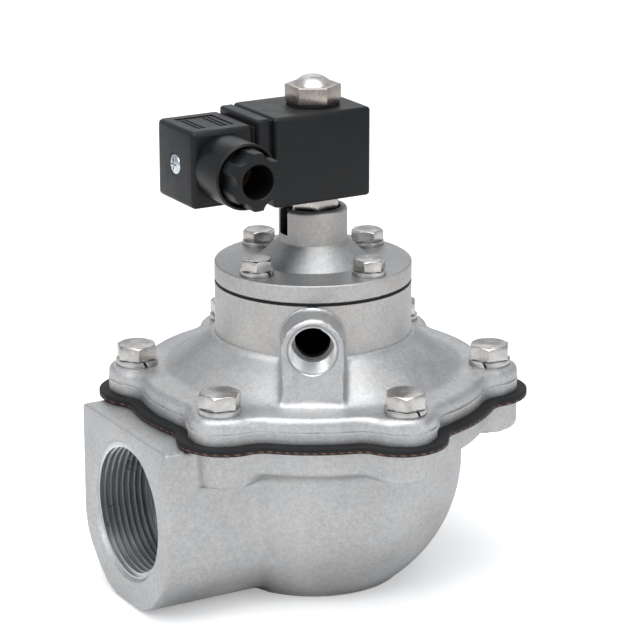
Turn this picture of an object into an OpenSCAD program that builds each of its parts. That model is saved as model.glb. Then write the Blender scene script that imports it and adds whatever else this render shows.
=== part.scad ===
// Right-angle pulse valve, two-stage, with a solenoid pilot.
// +Z runs up the diaphragm axis, z = 0 is the outlet face, and the inlet points along -X.
// Angles are counted from +X. Lengths are in millimetres.

/* [Ports] */
// Tapping radius of the inlet and outlet pipe threads
port_tap_r = 22.43; // [20:0.01:23.5]
// Outer radius of the inlet's lead-in chamfer
port_mouth_r = 25.8; // [24.5:0.1:27]
// Depth of the main port threads
port_depth = 22; // [18:0.5:24]
// Radius of the flow passage past the inlet thread
passage_r = 21; // [17:0.1:21.5]
// Height of the inlet axis over the outlet face
inlet_z = 34.5; // [33:0.1:36]
// Distance of the inlet face from the diaphragm axis
inlet_reach = 75.2; // [72:0.1:84]

/* [Valve body] */
// Height of the body's joint plane over the outlet face
body_top_z = 65; // [63:0.1:70]
// Radius of the ball-shaped bowl
bowl_r = 53; // [52:0.1:56]
// Radius of the flat ring that the bowl stands on
foot_r = 31; // [29:0.1:33]
// Wall of the bowl and of the outlet tube's foot
bowl_wall = 5; // [3:0.1:6]
// Thickness of the chamber's floor
floor_t = 8; // [5:0.1:12]
// Width of the inlet block
inlet_w = 64.8; // [60:0.1:70]
// Leg of the inlet block's lower corner chamfers
inlet_corner = 17.5; // [10:0.1:18]
// Height of the inlet block's underside over the outlet face
inlet_foot_gap = 0.5; // [0.2:0.1:3]
// Edge radius of the inlet block
inlet_edge_r = 1.6; // [0.5:0.1:3]
// Thickness of the body's flange
body_flange_t = 10; // [8:0.1:12]
// How far the bolt bosses reach below the flange at the bolt
boss_drop = 9; // [4:0.1:11]
// Slope of the bolt bosses' underside, in degrees
boss_slope = 34; // [25:1:40]
// Radius of the cove under the flange
cove_r = 7; // [3:0.1:8]

/* [Main seat] */
// How far the main seat lies below the joint plane
seat_drop = 5.5; // [4:0.1:7]
// Wall of the seat tube
seat_wall = 4.5; // [3:0.1:6]
// Radius of the chamber's mouth and of the diaphragm's free part
chamber_r = 48; // [46:0.1:50]

/* [Bolt circle] */
// Radius of the cover bolts' circle
bolt_circle_r = 62.5; // [62:0.1:65]
// Radius of each flange lobe about its bolt
lobe_r = 10; // [9:0.1:11]
// Radius of the flange between the lobes
valley_r = 62; // [60:0.1:63]
// Radius of the hollow blends beside each lobe
lobe_blend_r = 8; // [6:0.1:10]
// Rounding of the flanges' outer edges
flange_edge_r = 2.6; // [1:0.1:3.5]

/* [Cover] */
// Thickness of the cover's flange
cover_flange_t = 8.9; // [7:0.1:11]
// Gap from the cover bolts' washers to the foot of the cover's cone
cone_gap = 4.1; // [2.6:0.1:7]
// Height of the cover's cone
cone_h = 12.8; // [11:0.1:16]
// Radius of the neck and of the pilot cap
neck_r = 34.64; // [33.5:0.01:37]
// Height of the neck's cylinder
neck_h = 18.3; // [17.5:0.1:22]
// Wall of the cone
cone_wall = 5; // [3.5:0.1:6]

/* [Exhaust port] */
// Direction of the exhaust port, in degrees
exhaust_angle = 240; // [235:1:245]
// Tapping radius of the exhaust thread
exhaust_tap_r = 7.48; // [6.5:0.01:8.2]
// Depth of the exhaust thread on its axis
exhaust_depth = 12; // [8:0.1:12.5]
// Radius of the exhaust duct behind the thread
duct_r = 6.4; // [4:0.1:6.5]
// Half width of the exhaust boss, and radius of its arch
exhaust_boss_r = 10.8; // [10.2:0.1:11.5]
// Height of the exhaust axis below the neck's top
exhaust_drop = 11.5; // [11.5:0.1:12]
// Distance of the boss's foot from the diaphragm axis
exhaust_foot_reach = 50.3; // [48:0.1:52]
// Lean of the boss's face towards the axis, in degrees
exhaust_draft = 6.9; // [0:0.1:8]

/* [Pilot stage] */
// Radius of the pilot seat's bore
pilot_bore_r = 9.5; // [8:0.1:10]
// Wall of the pilot seat's tube
pilot_seat_wall = 3.5; // [2.5:0.1:4]
// Outer radius of the pilot chamber
pilot_chamber_r = 21.5; // [20:0.1:22]
// How far the pilot seat lies below the neck's top
pilot_seat_drop = 1.7; // [1:0.1:2.5]
// Radius of the holes that join the pilot chamber to the main chamber
transfer_r = 3; // [2:0.1:3.4]

/* [Pilot cap] */
// Radius of the cap bolts' circle
cap_circle_r = 27.35; // [27:0.05:28.5]
// Thickness of the cap's disc
cap_disc_t = 6.3; // [5.5:0.1:8]
// Radius of the cap's cone at its foot
cap_cone_r = 19.8; // [18:0.1:20.5]
// Height of the cap's cone
cap_cone_h = 8.1; // [7:0.1:10]
// Radius of the collar
collar_r = 12; // [11.2:0.1:13]
// Height of the collar
collar_h = 12.7; // [12:0.1:15]
// Width of the collar's vent slot
slot_w = 3; // [2:0.1:4]
// Height of the vent slot's foot over the cone
slot_sill = 2.6; // [2.4:0.1:3]
// Radius of the pilot nozzle's orifice
nozzle_bore_r = 1.2; // [0.8:0.1:1.6]

/* [Main diaphragm] */
// Thickness of the main diaphragm
diaphragm_t = 2.5; // [2:0.1:3.5]
// How far the diaphragm stands out of the joint
diaphragm_proud = 4; // [2:0.1:5]
// Radius of the plate on top of the diaphragm
top_plate_r = 27; // [25:0.1:29]
// Radius of the disc below the diaphragm
bottom_disc_r = 17.5; // [14:0.1:18]
// Thickness of the top plate and the bottom disc
plate_t = 2.5; // [2:0.1:3]
// Mean radius of the main spring
spring_r = 16; // [15:0.1:18]
// Wire diameter of the main spring
spring_wire = 2; // [1.2:0.1:2.4]
// Turns of the main spring
spring_turns = 5; // [4:0.5:6]

/* [Pilot diaphragm] */
// Thickness of the pilot diaphragm
pilot_t = 1; // [0.8:0.1:1.4]
// Radius of the pilot plate
pilot_plate_r = 11; // [9:0.1:12]
// Thickness of the pilot plate
pilot_plate_t = 1.5; // [1:0.1:2]
// Mean radius of the pilot spring
pilot_spring_r = 5.5; // [5:0.1:6]
// Wire diameter of the pilot spring
pilot_wire = 0.9; // [0.6:0.1:1]

/* [Solenoid tube] */
// Radius of the tube's threaded spigot
spigot_r = 6.9; // [6.5:0.1:7.3]
// Length of the spigot below the hex base
spigot_h = 6.2; // [5.4:0.1:6.4]
// Width across flats of the hex base
tube_hex_af = 14; // [13.8:0.1:15]
// How far the hex base stands over the collar
hex_show = 3.55; // [2.5:0.05:6]
// Section diameter of the tube's seal ring
tube_seal_t = 1.4; // [1:0.1:1.5]
// Outer radius of the guide tube
tube_r = 6.5; // [6.1:0.1:6.6]
// Wall of the guide tube
tube_wall = 1; // [0.7:0.1:1.2]
// Radius of the plunger
plunger_r = 5.15; // [4.8:0.05:5.2]
// Length of the fixed core inside the tube
core_in_tube = 14; // [10:0.1:16]
// Travel gap between the plunger and the fixed core
plunger_gap = 1.8; // [1.6:0.1:2.5]
// Radius of the nut's thread on the fixed core's stud
stud_r = 4.9; // [4:0.1:5.2]

/* [Coil] */
// Width of the coil block
coil_w = 30; // [27:0.1:32]
// Height of the coil block
coil_h = 31.4; // [30:0.1:34]
// How far the coil block reaches behind the tube
coil_back = 14.5; // [13:0.1:17]
// How far the coil block reaches towards the connector
coil_front = 23.5; // [21:0.1:26]
// Edge radius of the coil block
coil_edge_r = 1.4; // [0.6:0.1:2.5]
// Depth of the terminal base on the coil
base_t = 5.9; // [4.5:0.1:7]
// Width of the terminal base
base_w = 27.4; // [26.5:0.1:29]
// Height of the terminal base
base_h = 29; // [28:0.1:29.8]

/* [Connector] */
// Length of the connector housing
plug_l = 23.3; // [21:0.1:27]
// Width of the connector housing
plug_w = 26; // [25:0.1:27]
// Height of the connector housing
plug_h = 26.7; // [25:0.1:27.5]
// Wall of the connector housing
plug_wall = 2; // [1.6:0.1:2.4]
// Edge radius of the connector housing
plug_edge_r = 1.8; // [1:0.1:3]
// Height of the coil's top over the connector's middle
plug_drop = 15.1; // [14.5:0.1:15.8]
// Thickness of the connector gasket
gasket_t = 1; // [0.5:0.1:1.5]
// Outer radius of the cable gland
gland_r = 11.4; // [11:0.1:11.6]
// Reach of the gland's end from the tube axis
gland_reach = 28.5; // [27:0.1:32]
// Reach of the gland nut's end face from the tube axis
gland_nut_reach = 36.5; // [34.5:0.1:38]
// Radius of the gland nut over its points
gland_nut_r = 9.9; // [9.6:0.1:10.2]
// Radius of the cable hole in the gland nut
cable_r = 5.85; // [4:0.05:6]

/* [Cap nut] */
// Width across flats of the cap nut
nut_af = 17; // [16:0.1:19]
// Height of the cap nut's hex
nut_hex_h = 6; // [5:0.1:8]
// Height of the cap nut's dome
dome_h = 3.3; // [2.5:0.1:4]
// Radius of the dome's foot
dome_r = 7; // [6.4:0.1:7.6]
// Thickness of the ring under the cap nut
nut_ring_t = 0.7; // [0.5:0.1:1.2]

/* [Fasteners] */
// Nominal diameter of the cover bolts
bolt_d = 8; // [7:0.1:8.4]
// Width across flats of the cover bolts
bolt_af = 13; // [12:0.1:14]
// Head height of the cover bolts
bolt_head_h = 5.3; // [4.5:0.1:6]
// Length of the cover bolts under the head
bolt_l = 25; // [22:0.5:26]
// Outer diameter of the cover bolts' spring washers
washer_od = 14.8; // [14:0.1:15.5]
// Thickness of the cover bolts' spring washers
washer_t = 2; // [1.6:0.1:2.4]
// Nominal diameter of the cap bolts
cap_bolt_d = 6; // [5:0.1:6.2]
// Width across flats of the cap bolts
cap_bolt_af = 10; // [9:0.1:11]
// Head height of the cap bolts
cap_bolt_head_h = 4; // [3.5:0.1:5]
// Length of the cap bolts under the head
cap_bolt_l = 20; // [17:0.5:21]
// Outer diameter of the cap bolts' spring washers
cap_washer_od = 11.8; // [11:0.1:12.4]
// Thickness of the cap bolts' spring washers
cap_washer_t = 1.6; // [1.2:0.1:2]

/* [Hidden] */
$fn = 64;

// Clearances
thread_play = 0.1;
bolt_play = 0.5;
slide_play = 0.3;
press_play = 0.05;
turn_play = 0.1;
cut = 1;

// Heights, from the outlet face up
seat_z = body_top_z - seat_drop;
cover_z = body_top_z + diaphragm_t;
cover_seat_z = cover_z + cover_flange_t;
neck_z = cover_seat_z + cone_h;
neck_top_z = neck_z + neck_h;
exhaust_z = neck_top_z - exhaust_drop;
pilot_seat_z = neck_top_z - pilot_seat_drop;
cap_z = neck_top_z + pilot_t;
cap_seat_z = cap_z + cap_disc_t;
collar_z = cap_seat_z + cap_cone_h;
collar_top_z = collar_z + collar_h;
hex_top_z = collar_top_z + hex_show;
coil_z = hex_top_z + turn_play;
coil_top_z = coil_z + coil_h;
nut_z = coil_top_z + turn_play + nut_ring_t;

// Bolt positions
bolt_count = 6;
bolt_step = 360 / bolt_count;
bolt_angles = [for (i = [0:bolt_count - 1]) 30 + bolt_step * i];
bolt_turns = [0, 15, 10, -12, 30, -5];
washer_gaps = [60, 60, 268, 60, 277, 225];
cap_angles = [15, 105, 195, 285];
cap_turns = [10, -15, 0, 20];
cap_washer_gaps = [60, 60, 290, 60];
nut_turn = 30;

// Body
bowl_z = sqrt(bowl_r * bowl_r - foot_r * foot_r);
flange_z = body_top_z - body_flange_t;
chamber_low_r = bowl_r - bowl_wall;
seat_r = passage_r;
seat_out_r = seat_r + seat_wall;
bolt_hole_r = bolt_d / 2;
bolt_clear_r = bolt_hole_r + bolt_play;
boss_z = flange_z - boss_drop;
bolt_hole_z = cover_seat_z + washer_t - bolt_l - 2;
inlet_in = 36;

// Main diaphragm stack
top_plate_z = seat_z + diaphragm_t;
plate_top_z = top_plate_z + plate_t;
disc_z = seat_z - plate_t;
screw_head_h = 5.3;
screw_r = 3.9;
screw_af = 13;
nut_h = 6.5;
screw_washer_t = 2;
screw_washer_r = 7;
screw_tip = 1;
screw_top_z = plate_top_z + screw_washer_t + nut_h + screw_tip;
dish_r = 34;
main_lift = 9;

// Cover
web_edge_r = 0.8 * flange_edge_r;
cone_foot_r = bolt_circle_r - washer_od / 2 - cone_gap;
cone_dir = [neck_r - cone_foot_r, cone_h];
cone_n = [cone_h, cone_foot_r - neck_r] / norm(cone_dir);
ceiling_z = max(screw_top_z + main_lift + slide_play, neck_z - 5);
ceiling_t = 3.5;
pilot_floor_z = ceiling_z + ceiling_t;
pilot_tube_r = pilot_bore_r + pilot_seat_wall;
transfer_circle_r = (pilot_tube_r + pilot_chamber_r) / 2;
cap_hole_r = cap_bolt_d / 2;
cap_clear_r = cap_hole_r + bolt_play / 2;
cap_tip_z = cap_seat_z + cap_washer_t - cap_bolt_l;
exhaust_face = exhaust_foot_reach - (exhaust_z - cover_seat_z) * tan(exhaust_draft);

// Pilot stage stack
pilot_dish_r = pilot_tube_r + 1;
pilot_plate_z = pilot_seat_z + pilot_t;
pilot_plate_top_z = pilot_plate_z + pilot_plate_t;
rivet_r = 2;
rivet_head_r = pilot_bore_r - 2;
rivet_head_h = 1.2;
rivet_tip_h = 0.8;
cap_roof_z = collar_z - 6;
spring_pocket_r = pilot_spring_r + pilot_wire / 2 + 1;

// Collar's inside
tube_hex_h = hex_show + 1.7;
recess_z = hex_top_z - tube_hex_h - tube_seal_t;
recess_r = max(tube_hex_af / 2 / cos(30), spigot_r + tube_seal_t) + 0.6;
hex_z = recess_z + tube_seal_t;
vent_r = spigot_r - 0.4;
vent_floor_z = collar_z - 1.4;
vent_top_z = hex_z - spigot_h;
nozzle_r = 2.2;
nozzle_h = 2.5;
nozzle_z = vent_floor_z + nozzle_h;
slot_z = collar_z + slot_sill;

// Solenoid
tube_bore_r = tube_r - tube_wall;
core_shoulder_h = 4;
core_top_z = coil_top_z - 3.5;
tube_top_z = core_top_z - core_shoulder_h;
core_z = tube_top_z - core_in_tube;
seal_r = 3;
seal_h = 2.2;
seal_proud = 0.4;
plunger_z = nozzle_z + seal_proud;
plunger_top_z = core_z - plunger_gap;
plunger_pocket_r = 2.9;
plunger_pocket_h = 8;
plunger_wire = 0.6;
plunger_spring_r = plunger_pocket_r - plunger_wire / 2 - 0.2;

// Connector, measured along -X from the tube axis
base_face = coil_front + base_t;
plug_face = base_face + gasket_t;
plug_end = plug_face + plug_l;
base_z = coil_top_z - 0.2 - base_h;
plug_mid_z = coil_top_z - plug_drop;
plug_z = plug_mid_z - plug_h / 2;
gland_x = -(plug_face + plug_l / 2 - 0.6);
gland_z = plug_mid_z;
gland_root = plug_w / 2 - 0.5;
gland_mouth_r = gland_nut_r + 0.4;
gland_mouth_d = 3.5;
gland_thread_r = gland_nut_r - 0.9;
gland_head_foot = gland_reach - gland_mouth_d + 1;
gland_barrel_l = 5.5;
gland_seat = 15;
gland_stack = gland_head_foot - gland_barrel_l;
gland_washer_t = 0.8;
cable_way_r = 6.2;
plug_screw_r = 1.45;
plug_screw_head_r = 3.4;
plug_screw_head_h = 2;
plug_screw_pocket = 1.2;
plug_screw_grip = 5;
block_play = 0.4;
blade_w = 6.3;
blade_t = 0.8;
blade_root = 3;
blade_l = 12;
blade_off = 9;
// Where each contact blade stands on the terminal base: across, up, and turned flat or not
blades = [[-blade_off, 0, 0], [blade_off, 0, 0], [0, -blade_off, 90]];

// A point at radius r and angle a
function pol(r, a) = [r * cos(a), r * sin(a)];

// Points of an arc about c, without its first point
function arc(c, r, a0, a1, n) = [for (i = [1:n]) c + pol(r, a0 + (a1 - a0) * i / n)];

// A point turned by angle a about the origin
function turned(p, a) = [p.x * cos(a) - p.y * sin(a), p.x * sin(a) + p.y * cos(a)];

// One lobe with its two blends and the valley after it, with the lobe centred on +X
function lobe_piece(valley, lobe, blend) =
    let (
        far = valley + blend,
        near = lobe + blend,
        c = [bolt_circle_r, 0],
        phi = acos((c.x * c.x + far * far - near * near) / (2 * c.x * far)),
        f = pol(far, phi),
        delta = atan2(f.y, f.x - c.x)
    )
    concat(
        arc([f.x, -f.y], blend, -180 - phi, -180 - delta, 4),
        arc(c, lobe, -delta, delta, 8),
        arc(f, blend, 180 + delta, 180 + phi, 4),
        arc([0, 0], valley, phi, bolt_step - phi, 3)
    );

// The whole lobed outline, grown by d
function lobed(d) = [
    for (a = bolt_angles)
    for (p = lobe_piece(valley_r + d, lobe_r + d, lobe_blend_r - d)) turned(p, a)
];

// Half section of a disc of radius r and thickness t, its upper edge rounded by e: as a true round, or in
// the given number of steps
module disc_section(r, t, e, steps) {
    if (steps > 0)
        polygon(concat([[0, 0], [r, 0], [r, t - e]], arc([r - e, t - e], e, 0, 90, steps), [[0, t]]));
    else {
        square([r, t - e]);
        square([r - e, t]);
        intersection() {
            translate([r - e, t - e]) circle(e);
            square([r, t]);
        }
    }
}

// What flares the hollow of a web open by e at its upper edge
module flare_section(t, e, steps) {
    if (steps > 0)
        polygon(concat([[0, t - e], [lobe_blend_r, t - e]],
            arc([lobe_blend_r + e, t - e], e, 180, 90, steps),
            [[lobe_blend_r + e, t + cut], [0, t + cut]]));
    else
        difference() {
            translate([lobe_blend_r - cut, t - e]) square([e + cut, e + cut]);
            translate([lobe_blend_r + e, t - e]) circle(e);
        }
}

// The hollow corner beside a lobe on +X, on the side given by s, its upper edge rounded by e
module lobe_web(t, e, steps, s) {
    inset = 0.05;
    far = valley_r + lobe_blend_r - inset;
    near = lobe_r + lobe_blend_r - inset;
    rb = bolt_circle_r;
    phi = s * acos((rb * rb + far * far - near * near) / (2 * rb * far));
    f = pol(far, phi);
    difference() {
        linear_extrude(t) polygon([[rb, 0], f, pol(valley_r - lobe_r / 2, phi), [rb - lobe_r, 0]]);
        translate([f.x, f.y, 0]) {
            rod(lobe_blend_r, -cut, t + cut);
            rotate_extrude() flare_section(t, e, steps);
        }
    }
}

// A lobed flange on z = 0, its upper edge rounded by e, and by web_e beside the lobes
module lobed_flange(t, e, web_e, steps) {
    rotate_extrude() disc_section(valley_r, t, e, steps);
    for (a = bolt_angles) rotate(a) {
        lobe_web(t, web_e, steps, 1);
        lobe_web(t, web_e, steps, -1);
        translate([bolt_circle_r, 0, 0]) rod(lobe_r, 0, t);
    }
}

// What rounds a lobe's upper edge by e when it is cut from a flange whose top is at height z
module lobe_rounder(z, e) {
    far = valley_r + lobe_blend_r;
    near = lobe_r + lobe_blend_r;
    rb = bolt_circle_r;
    half = 180 - acos((rb * rb + near * near - far * far) / (2 * rb * near));
    for (a = bolt_angles) rotate(a) translate([rb, 0, z - e]) rotate(-half)
        rotate_extrude(angle = 2 * half) difference() {
            translate([lobe_r - e, 0]) square([e + cut, e + cut]);
            translate([lobe_r - e, 0]) circle(e);
        }
}

// A wire wound about the Z axis from z0 to z1, with a nearly closed turn at each end
module wound_spring(r, wire, z0, z1, turns, per_turn, sides) {
    n = round(turns * per_turn);
    closed = 1.15 * wire;
    free = z1 - z0 - wire - 2 * closed;
    function rise(t) = t < 1 ? closed * t
        : t > turns - 1 ? closed + free + closed * (t - turns + 1)
        : closed + free * (t - 1) / (turns - 2);
    points = [
        for (i = [0:n]) for (j = [0:sides - 1])
        let (t = i * turns / n, q = pol(wire / 2, 360 * j / sides), p = pol(r + q.x, 360 * t))
        [p.x, p.y, z0 + wire / 2 + rise(t) + q.y]
    ];
    skin = [
        for (i = [0:n - 1]) for (j = [0:sides - 1])
        let (k = (j + 1) % sides, a = i * sides, b = a + sides)
        each [[a + j, b + k, b + j], [a + j, a + k, b + k]]
    ];
    start = [for (j = [0:sides - 1]) sides - 1 - j];
    end = [for (j = [0:sides - 1]) n * sides + j];
    polyhedron(points, concat([start], skin, [end]), convexity = 10);
}

// A rectangle with round corners
module round_rect(w, h, r) {
    square([w, h - 2 * r], center = true);
    square([w - 2 * r, h], center = true);
    for (x = [-1, 1], y = [-1, 1]) translate([x * (w / 2 - r), y * (h / 2 - r)]) circle(r);
}

// A box with all its edges round, from corner lo to corner hi
module round_box(lo, hi, r) {
    s = hi - lo;
    translate((lo + hi) / 2) intersection() {
        linear_extrude(s.z, center = true) round_rect(s.x, s.y, r);
        rotate([90, 0, 0]) linear_extrude(s.y, center = true) round_rect(s.x, s.z, r);
        rotate([90, 0, 90]) linear_extrude(s.x, center = true) round_rect(s.y, s.z, r);
    }
}

// A hexagon prism of width af across flats, its top corners turned off
module hex_head(af, h, turn) {
    r = af / 2 / cos(30);
    bevel = 0.55 * (r - af / 2);
    rotate(turn) intersection() {
        cylinder(h, r, r, $fn = 6);
        union() {
            cylinder(h - bevel, r + cut, r + cut);
            translate([0, 0, h - bevel]) cylinder(bevel, r, af / 2 * 0.97);
        }
    }
}

// A split spring washer, standing on z = 0
module split_washer(bore, od, t, gap_angle) {
    difference() {
        cylinder(t, od / 2, od / 2);
        translate([0, 0, -cut]) cylinder(t + 2 * cut, bore / 2, bore / 2);
        rotate(gap_angle) translate([od / 4, 0, t / 2]) rotate([25, 0, 0])
            cube([od, 0.9, 3 * t], center = true);
    }
}

// Moves its children to each bolt of a circle
module at_circle(r, angles) {
    for (i = [0:len(angles) - 1]) {
        $i = i;
        p = pol(r, angles[i]);
        translate([p.x, p.y, 0]) children();
    }
}

// A cylinder along Z from z0 to z1
module rod(r, z0, z1) {
    translate([0, 0, z0]) cylinder(z1 - z0, r, r);
}

// A cylinder along direction a at height z, from distance d0 to d1
module spoke(r, z, a, d0, d1) {
    rotate(a) translate([d0, 0, z]) rotate([0, 90, 0]) cylinder(d1 - d0, r, r);
}

// The inlet block's section, seen along the port
module inlet_section() {
    half = inlet_w / 2;
    low = inlet_foot_gap;
    top = body_top_z;
    e = inlet_edge_r;
    c = inlet_corner;
    right = concat(
        [[half - c, low], [half, low + c]],
        arc([half - e, top - e], e, 0, 90, 4)
    );
    left = [for (i = [len(right) - 1:-1:0]) [-right[i].x, right[i].y]];
    polygon(concat(right, left));
}

// Half section of the sloping solid that carries the bolt bosses down to the bowl
module boss_section() {
    reach = bolt_circle_r + lobe_r;
    low = boss_z - (bolt_circle_r - chamber_r) * tan(boss_slope);
    high = min(boss_z + lobe_r * tan(boss_slope), flange_z);
    polygon([[chamber_r, low], [reach + cut, high], [reach + cut, body_top_z],
        [chamber_r, body_top_z]]);
}

// Half section of the bowl, with the cove under its flange
module bowl_section() {
    intersection() {
        translate([0, bowl_z]) circle(bowl_r, $fn = 128);
        square([bowl_r, bowl_z]);
    }
    translate([0, bowl_z]) square([bowl_r, flange_z + cut - bowl_z]);
    translate([0, flange_z - cove_r]) difference() {
        square([bowl_r + cove_r, cove_r + cut]);
        translate([bowl_r + cove_r, 0]) circle(cove_r);
    }
}

module body_outside() {
    rotate_extrude() bowl_section();
    translate([0, 0, body_top_z]) mirror([0, 0, 1])
        lobed_flange(body_flange_t, flange_edge_r, flange_edge_r, 2);
    intersection() {
        rotate_extrude() boss_section();
        at_circle(bolt_circle_r, bolt_angles) {
            rod(lobe_r, 0, body_top_z + cut);
            rotate(bolt_angles[$i]) translate([-bolt_circle_r / 2, -lobe_r, 0])
                cube([bolt_circle_r / 2, 2 * lobe_r, flange_z + cut]);
        }
    }
    translate([-inlet_reach, 0, 0]) rotate([90, 0, 90])
        linear_extrude(inlet_reach - foot_r + cut) inlet_section();
}

// The ring chamber round the seat tube, which the inlet opens into
module body_chamber() {
    rotate_extrude() difference() {
        union() {
            intersection() {
                translate([0, bowl_z]) circle(chamber_low_r, $fn = 128);
                translate([0, floor_t]) square([bowl_r, bowl_z - floor_t]);
            }
            translate([0, bowl_z]) square([chamber_r, body_top_z + cut - bowl_z]);
        }
        square([seat_out_r, seat_z]);
    }
}

module valve_body() {
    color("silver") difference() {
        body_outside();
        body_chamber();
        rod(port_tap_r, -cut, port_depth);
        rod(seat_r, port_depth - cut, seat_z + cut);
        spoke(port_tap_r, inlet_z, 180, inlet_reach - port_depth, inlet_reach + cut);
        spoke(passage_r, inlet_z, 180, inlet_in, inlet_reach - port_depth + cut);
        translate([-inlet_reach, 0, inlet_z]) rotate([0, 90, 0])
            cylinder(port_mouth_r - port_tap_r, port_mouth_r, port_tap_r);
        at_circle(bolt_circle_r, bolt_angles) rod(bolt_hole_r, bolt_hole_z, body_top_z + cut);
    }
}

// The diaphragm's free part, dished from the rim down to the seat
module dished_disc(rim_r, flat_r, rim_z, low_z, t, hole_r) {
    rotate_extrude() polygon([
        [hole_r, low_z], [flat_r, low_z], [rim_r, rim_z], [rim_r + cut, rim_z],
        [rim_r + cut, rim_z + t], [rim_r - t / 2, rim_z + t], [flat_r - t / 2, low_z + t],
        [hole_r, low_z + t],
    ]);
}

module main_diaphragm() {
    bleed_r = 0.9;
    color("#22262a") difference() {
        union() {
            difference() {
                translate([0, 0, body_top_z]) linear_extrude(diaphragm_t)
                    polygon(lobed(diaphragm_proud));
                rod(chamber_r - cut, body_top_z - cut, cover_z + cut);
            }
            dished_disc(chamber_r - cut, dish_r, body_top_z, seat_z, diaphragm_t,
                screw_r + thread_play);
        }
        at_circle(bolt_circle_r, bolt_angles) rod(bolt_clear_r, seat_z, cover_z + cut);
        translate([(seat_out_r + dish_r) / 2, 0, seat_z - cut])
            cylinder(diaphragm_t + 2 * cut, bleed_r, bleed_r);
    }
}

module diaphragm_top_plate() {
    lip = 1.6;
    color("gainsboro") difference() {
        rotate_extrude() polygon([
            [0, top_plate_z], [top_plate_r - lip, top_plate_z], [top_plate_r, top_plate_z + lip],
            [top_plate_r, plate_top_z + lip], [top_plate_r - lip, plate_top_z + lip],
            [top_plate_r - 2 * lip, plate_top_z], [0, plate_top_z],
        ]);
        rod(screw_r + thread_play, top_plate_z - cut, plate_top_z + cut);
    }
}

module diaphragm_bottom_disc() {
    color("gainsboro") difference() {
        rotate_extrude() polygon([
            [0, disc_z], [bottom_disc_r - plate_t / 2, disc_z],
            [bottom_disc_r, disc_z + plate_t / 2], [bottom_disc_r, seat_z], [0, seat_z],
        ]);
        rod(screw_r + thread_play, disc_z - cut, seat_z + cut);
    }
}

module diaphragm_screw() {
    color("lightgray") {
        translate([0, 0, disc_z]) mirror([0, 0, 1]) hex_head(screw_af, screw_head_h, 0);
        rod(screw_r, disc_z - cut, screw_top_z);
    }
}

module diaphragm_washer() {
    color("lightgray") translate([0, 0, plate_top_z])
        split_washer(2 * (screw_r + thread_play), 2 * screw_washer_r, screw_washer_t, 60);
}

module diaphragm_nut() {
    color("lightgray") translate([0, 0, plate_top_z + screw_washer_t]) difference() {
        hex_head(screw_af, nut_h, 15);
        rod(screw_r + thread_play, -cut, nut_h + cut);
    }
}

module main_spring() {
    color("lightsteelblue")
        wound_spring(spring_r, spring_wire, plate_top_z, ceiling_z, spring_turns, 20, 6);
}

// Outside of the cover above its flange
module cone_and_neck() {
    flare = 2.5;
    rotate_extrude() polygon([
        [0, cover_seat_z - cut], [cone_foot_r + flare, cover_seat_z - cut],
        [cone_foot_r + flare, cover_seat_z],
        [cone_foot_r + flare / 4, cover_seat_z + flare / 4],
        [cone_foot_r - flare * 0.6, cover_seat_z + flare * 0.75],
        [neck_r + flare / 4, neck_z - flare / 4],
        [neck_r, neck_z + flare / 3], [neck_r, neck_top_z], [0, neck_top_z],
    ]);
}

// Arch-topped boss of the exhaust port, with its leaning face
module exhaust_boss() {
    w = exhaust_boss_r;
    reach = exhaust_foot_reach;
    rotate(exhaust_angle) difference() {
        translate([pilot_chamber_r + 2, 0, 0]) rotate([90, 0, 90])
            linear_extrude(reach - pilot_chamber_r) {
                translate([-w, cover_seat_z - cut])
                    square([2 * w, exhaust_z - cover_seat_z + cut]);
                translate([0, exhaust_z]) circle(w);
            }
        translate([reach, -2 * w, cover_seat_z]) rotate([0, -exhaust_draft, 0])
            translate([0, 0, -w]) cube([2 * w, 4 * w, 6 * w]);
    }
}

// Space under the cone, over the main diaphragm
module cover_chamber() {
    foot = [cone_foot_r, cover_seat_z] - cone_wall * cone_n;
    slope = cone_dir.y / cone_dir.x;
    side_z = foot.y + (chamber_r - foot.x) * slope;
    roof_r = foot.x + (ceiling_z - foot.y) / slope;
    rotate_extrude() polygon([
        [0, cover_z - cut], [chamber_r, cover_z - cut], [chamber_r, side_z],
        [roof_r, ceiling_z], [0, ceiling_z],
    ]);
}

// Ring chamber round the pilot seat, which the exhaust duct crosses
module pilot_chamber() {
    difference() {
        rod(pilot_chamber_r, pilot_floor_z, neck_top_z + cut);
        rod(pilot_tube_r, pilot_floor_z - cut, pilot_seat_z);
        spoke(duct_r + 2, exhaust_z, exhaust_angle, pilot_bore_r, pilot_chamber_r + cut);
    }
    for (i = [1:5]) rotate(exhaust_angle + 60 * i) translate([transfer_circle_r, 0, 0])
        rod(transfer_r, ceiling_z - cut, pilot_floor_z + cut);
}

module main_cover() {
    color("silver") difference() {
        union() {
            translate([0, 0, cover_z]) lobed_flange(cover_flange_t, flange_edge_r, web_edge_r, 0);
            cone_and_neck();
            exhaust_boss();
        }
        lobe_rounder(cover_seat_z, web_edge_r);
        cover_chamber();
        pilot_chamber();
        rod(pilot_bore_r, pilot_floor_z, pilot_seat_z + cut);
        spoke(duct_r, exhaust_z, exhaust_angle, 0, exhaust_face);
        spoke(exhaust_tap_r, exhaust_z, exhaust_angle, exhaust_face - exhaust_depth,
            exhaust_foot_reach + cut);
        at_circle(bolt_circle_r, bolt_angles)
            rod(bolt_clear_r, cover_z - cut, cover_seat_z + cut);
        at_circle(cap_circle_r, cap_angles)
            rod(cap_hole_r, cap_tip_z - 1.5, neck_top_z + cut);
    }
}

module cover_bolts() {
    head_z = cover_seat_z + washer_t;
    color("lightgray") at_circle(bolt_circle_r, bolt_angles) {
        translate([0, 0, head_z]) hex_head(bolt_af, bolt_head_h, bolt_turns[$i]);
        rod(bolt_hole_r - thread_play, head_z - bolt_l, head_z + cut);
    }
}

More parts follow.
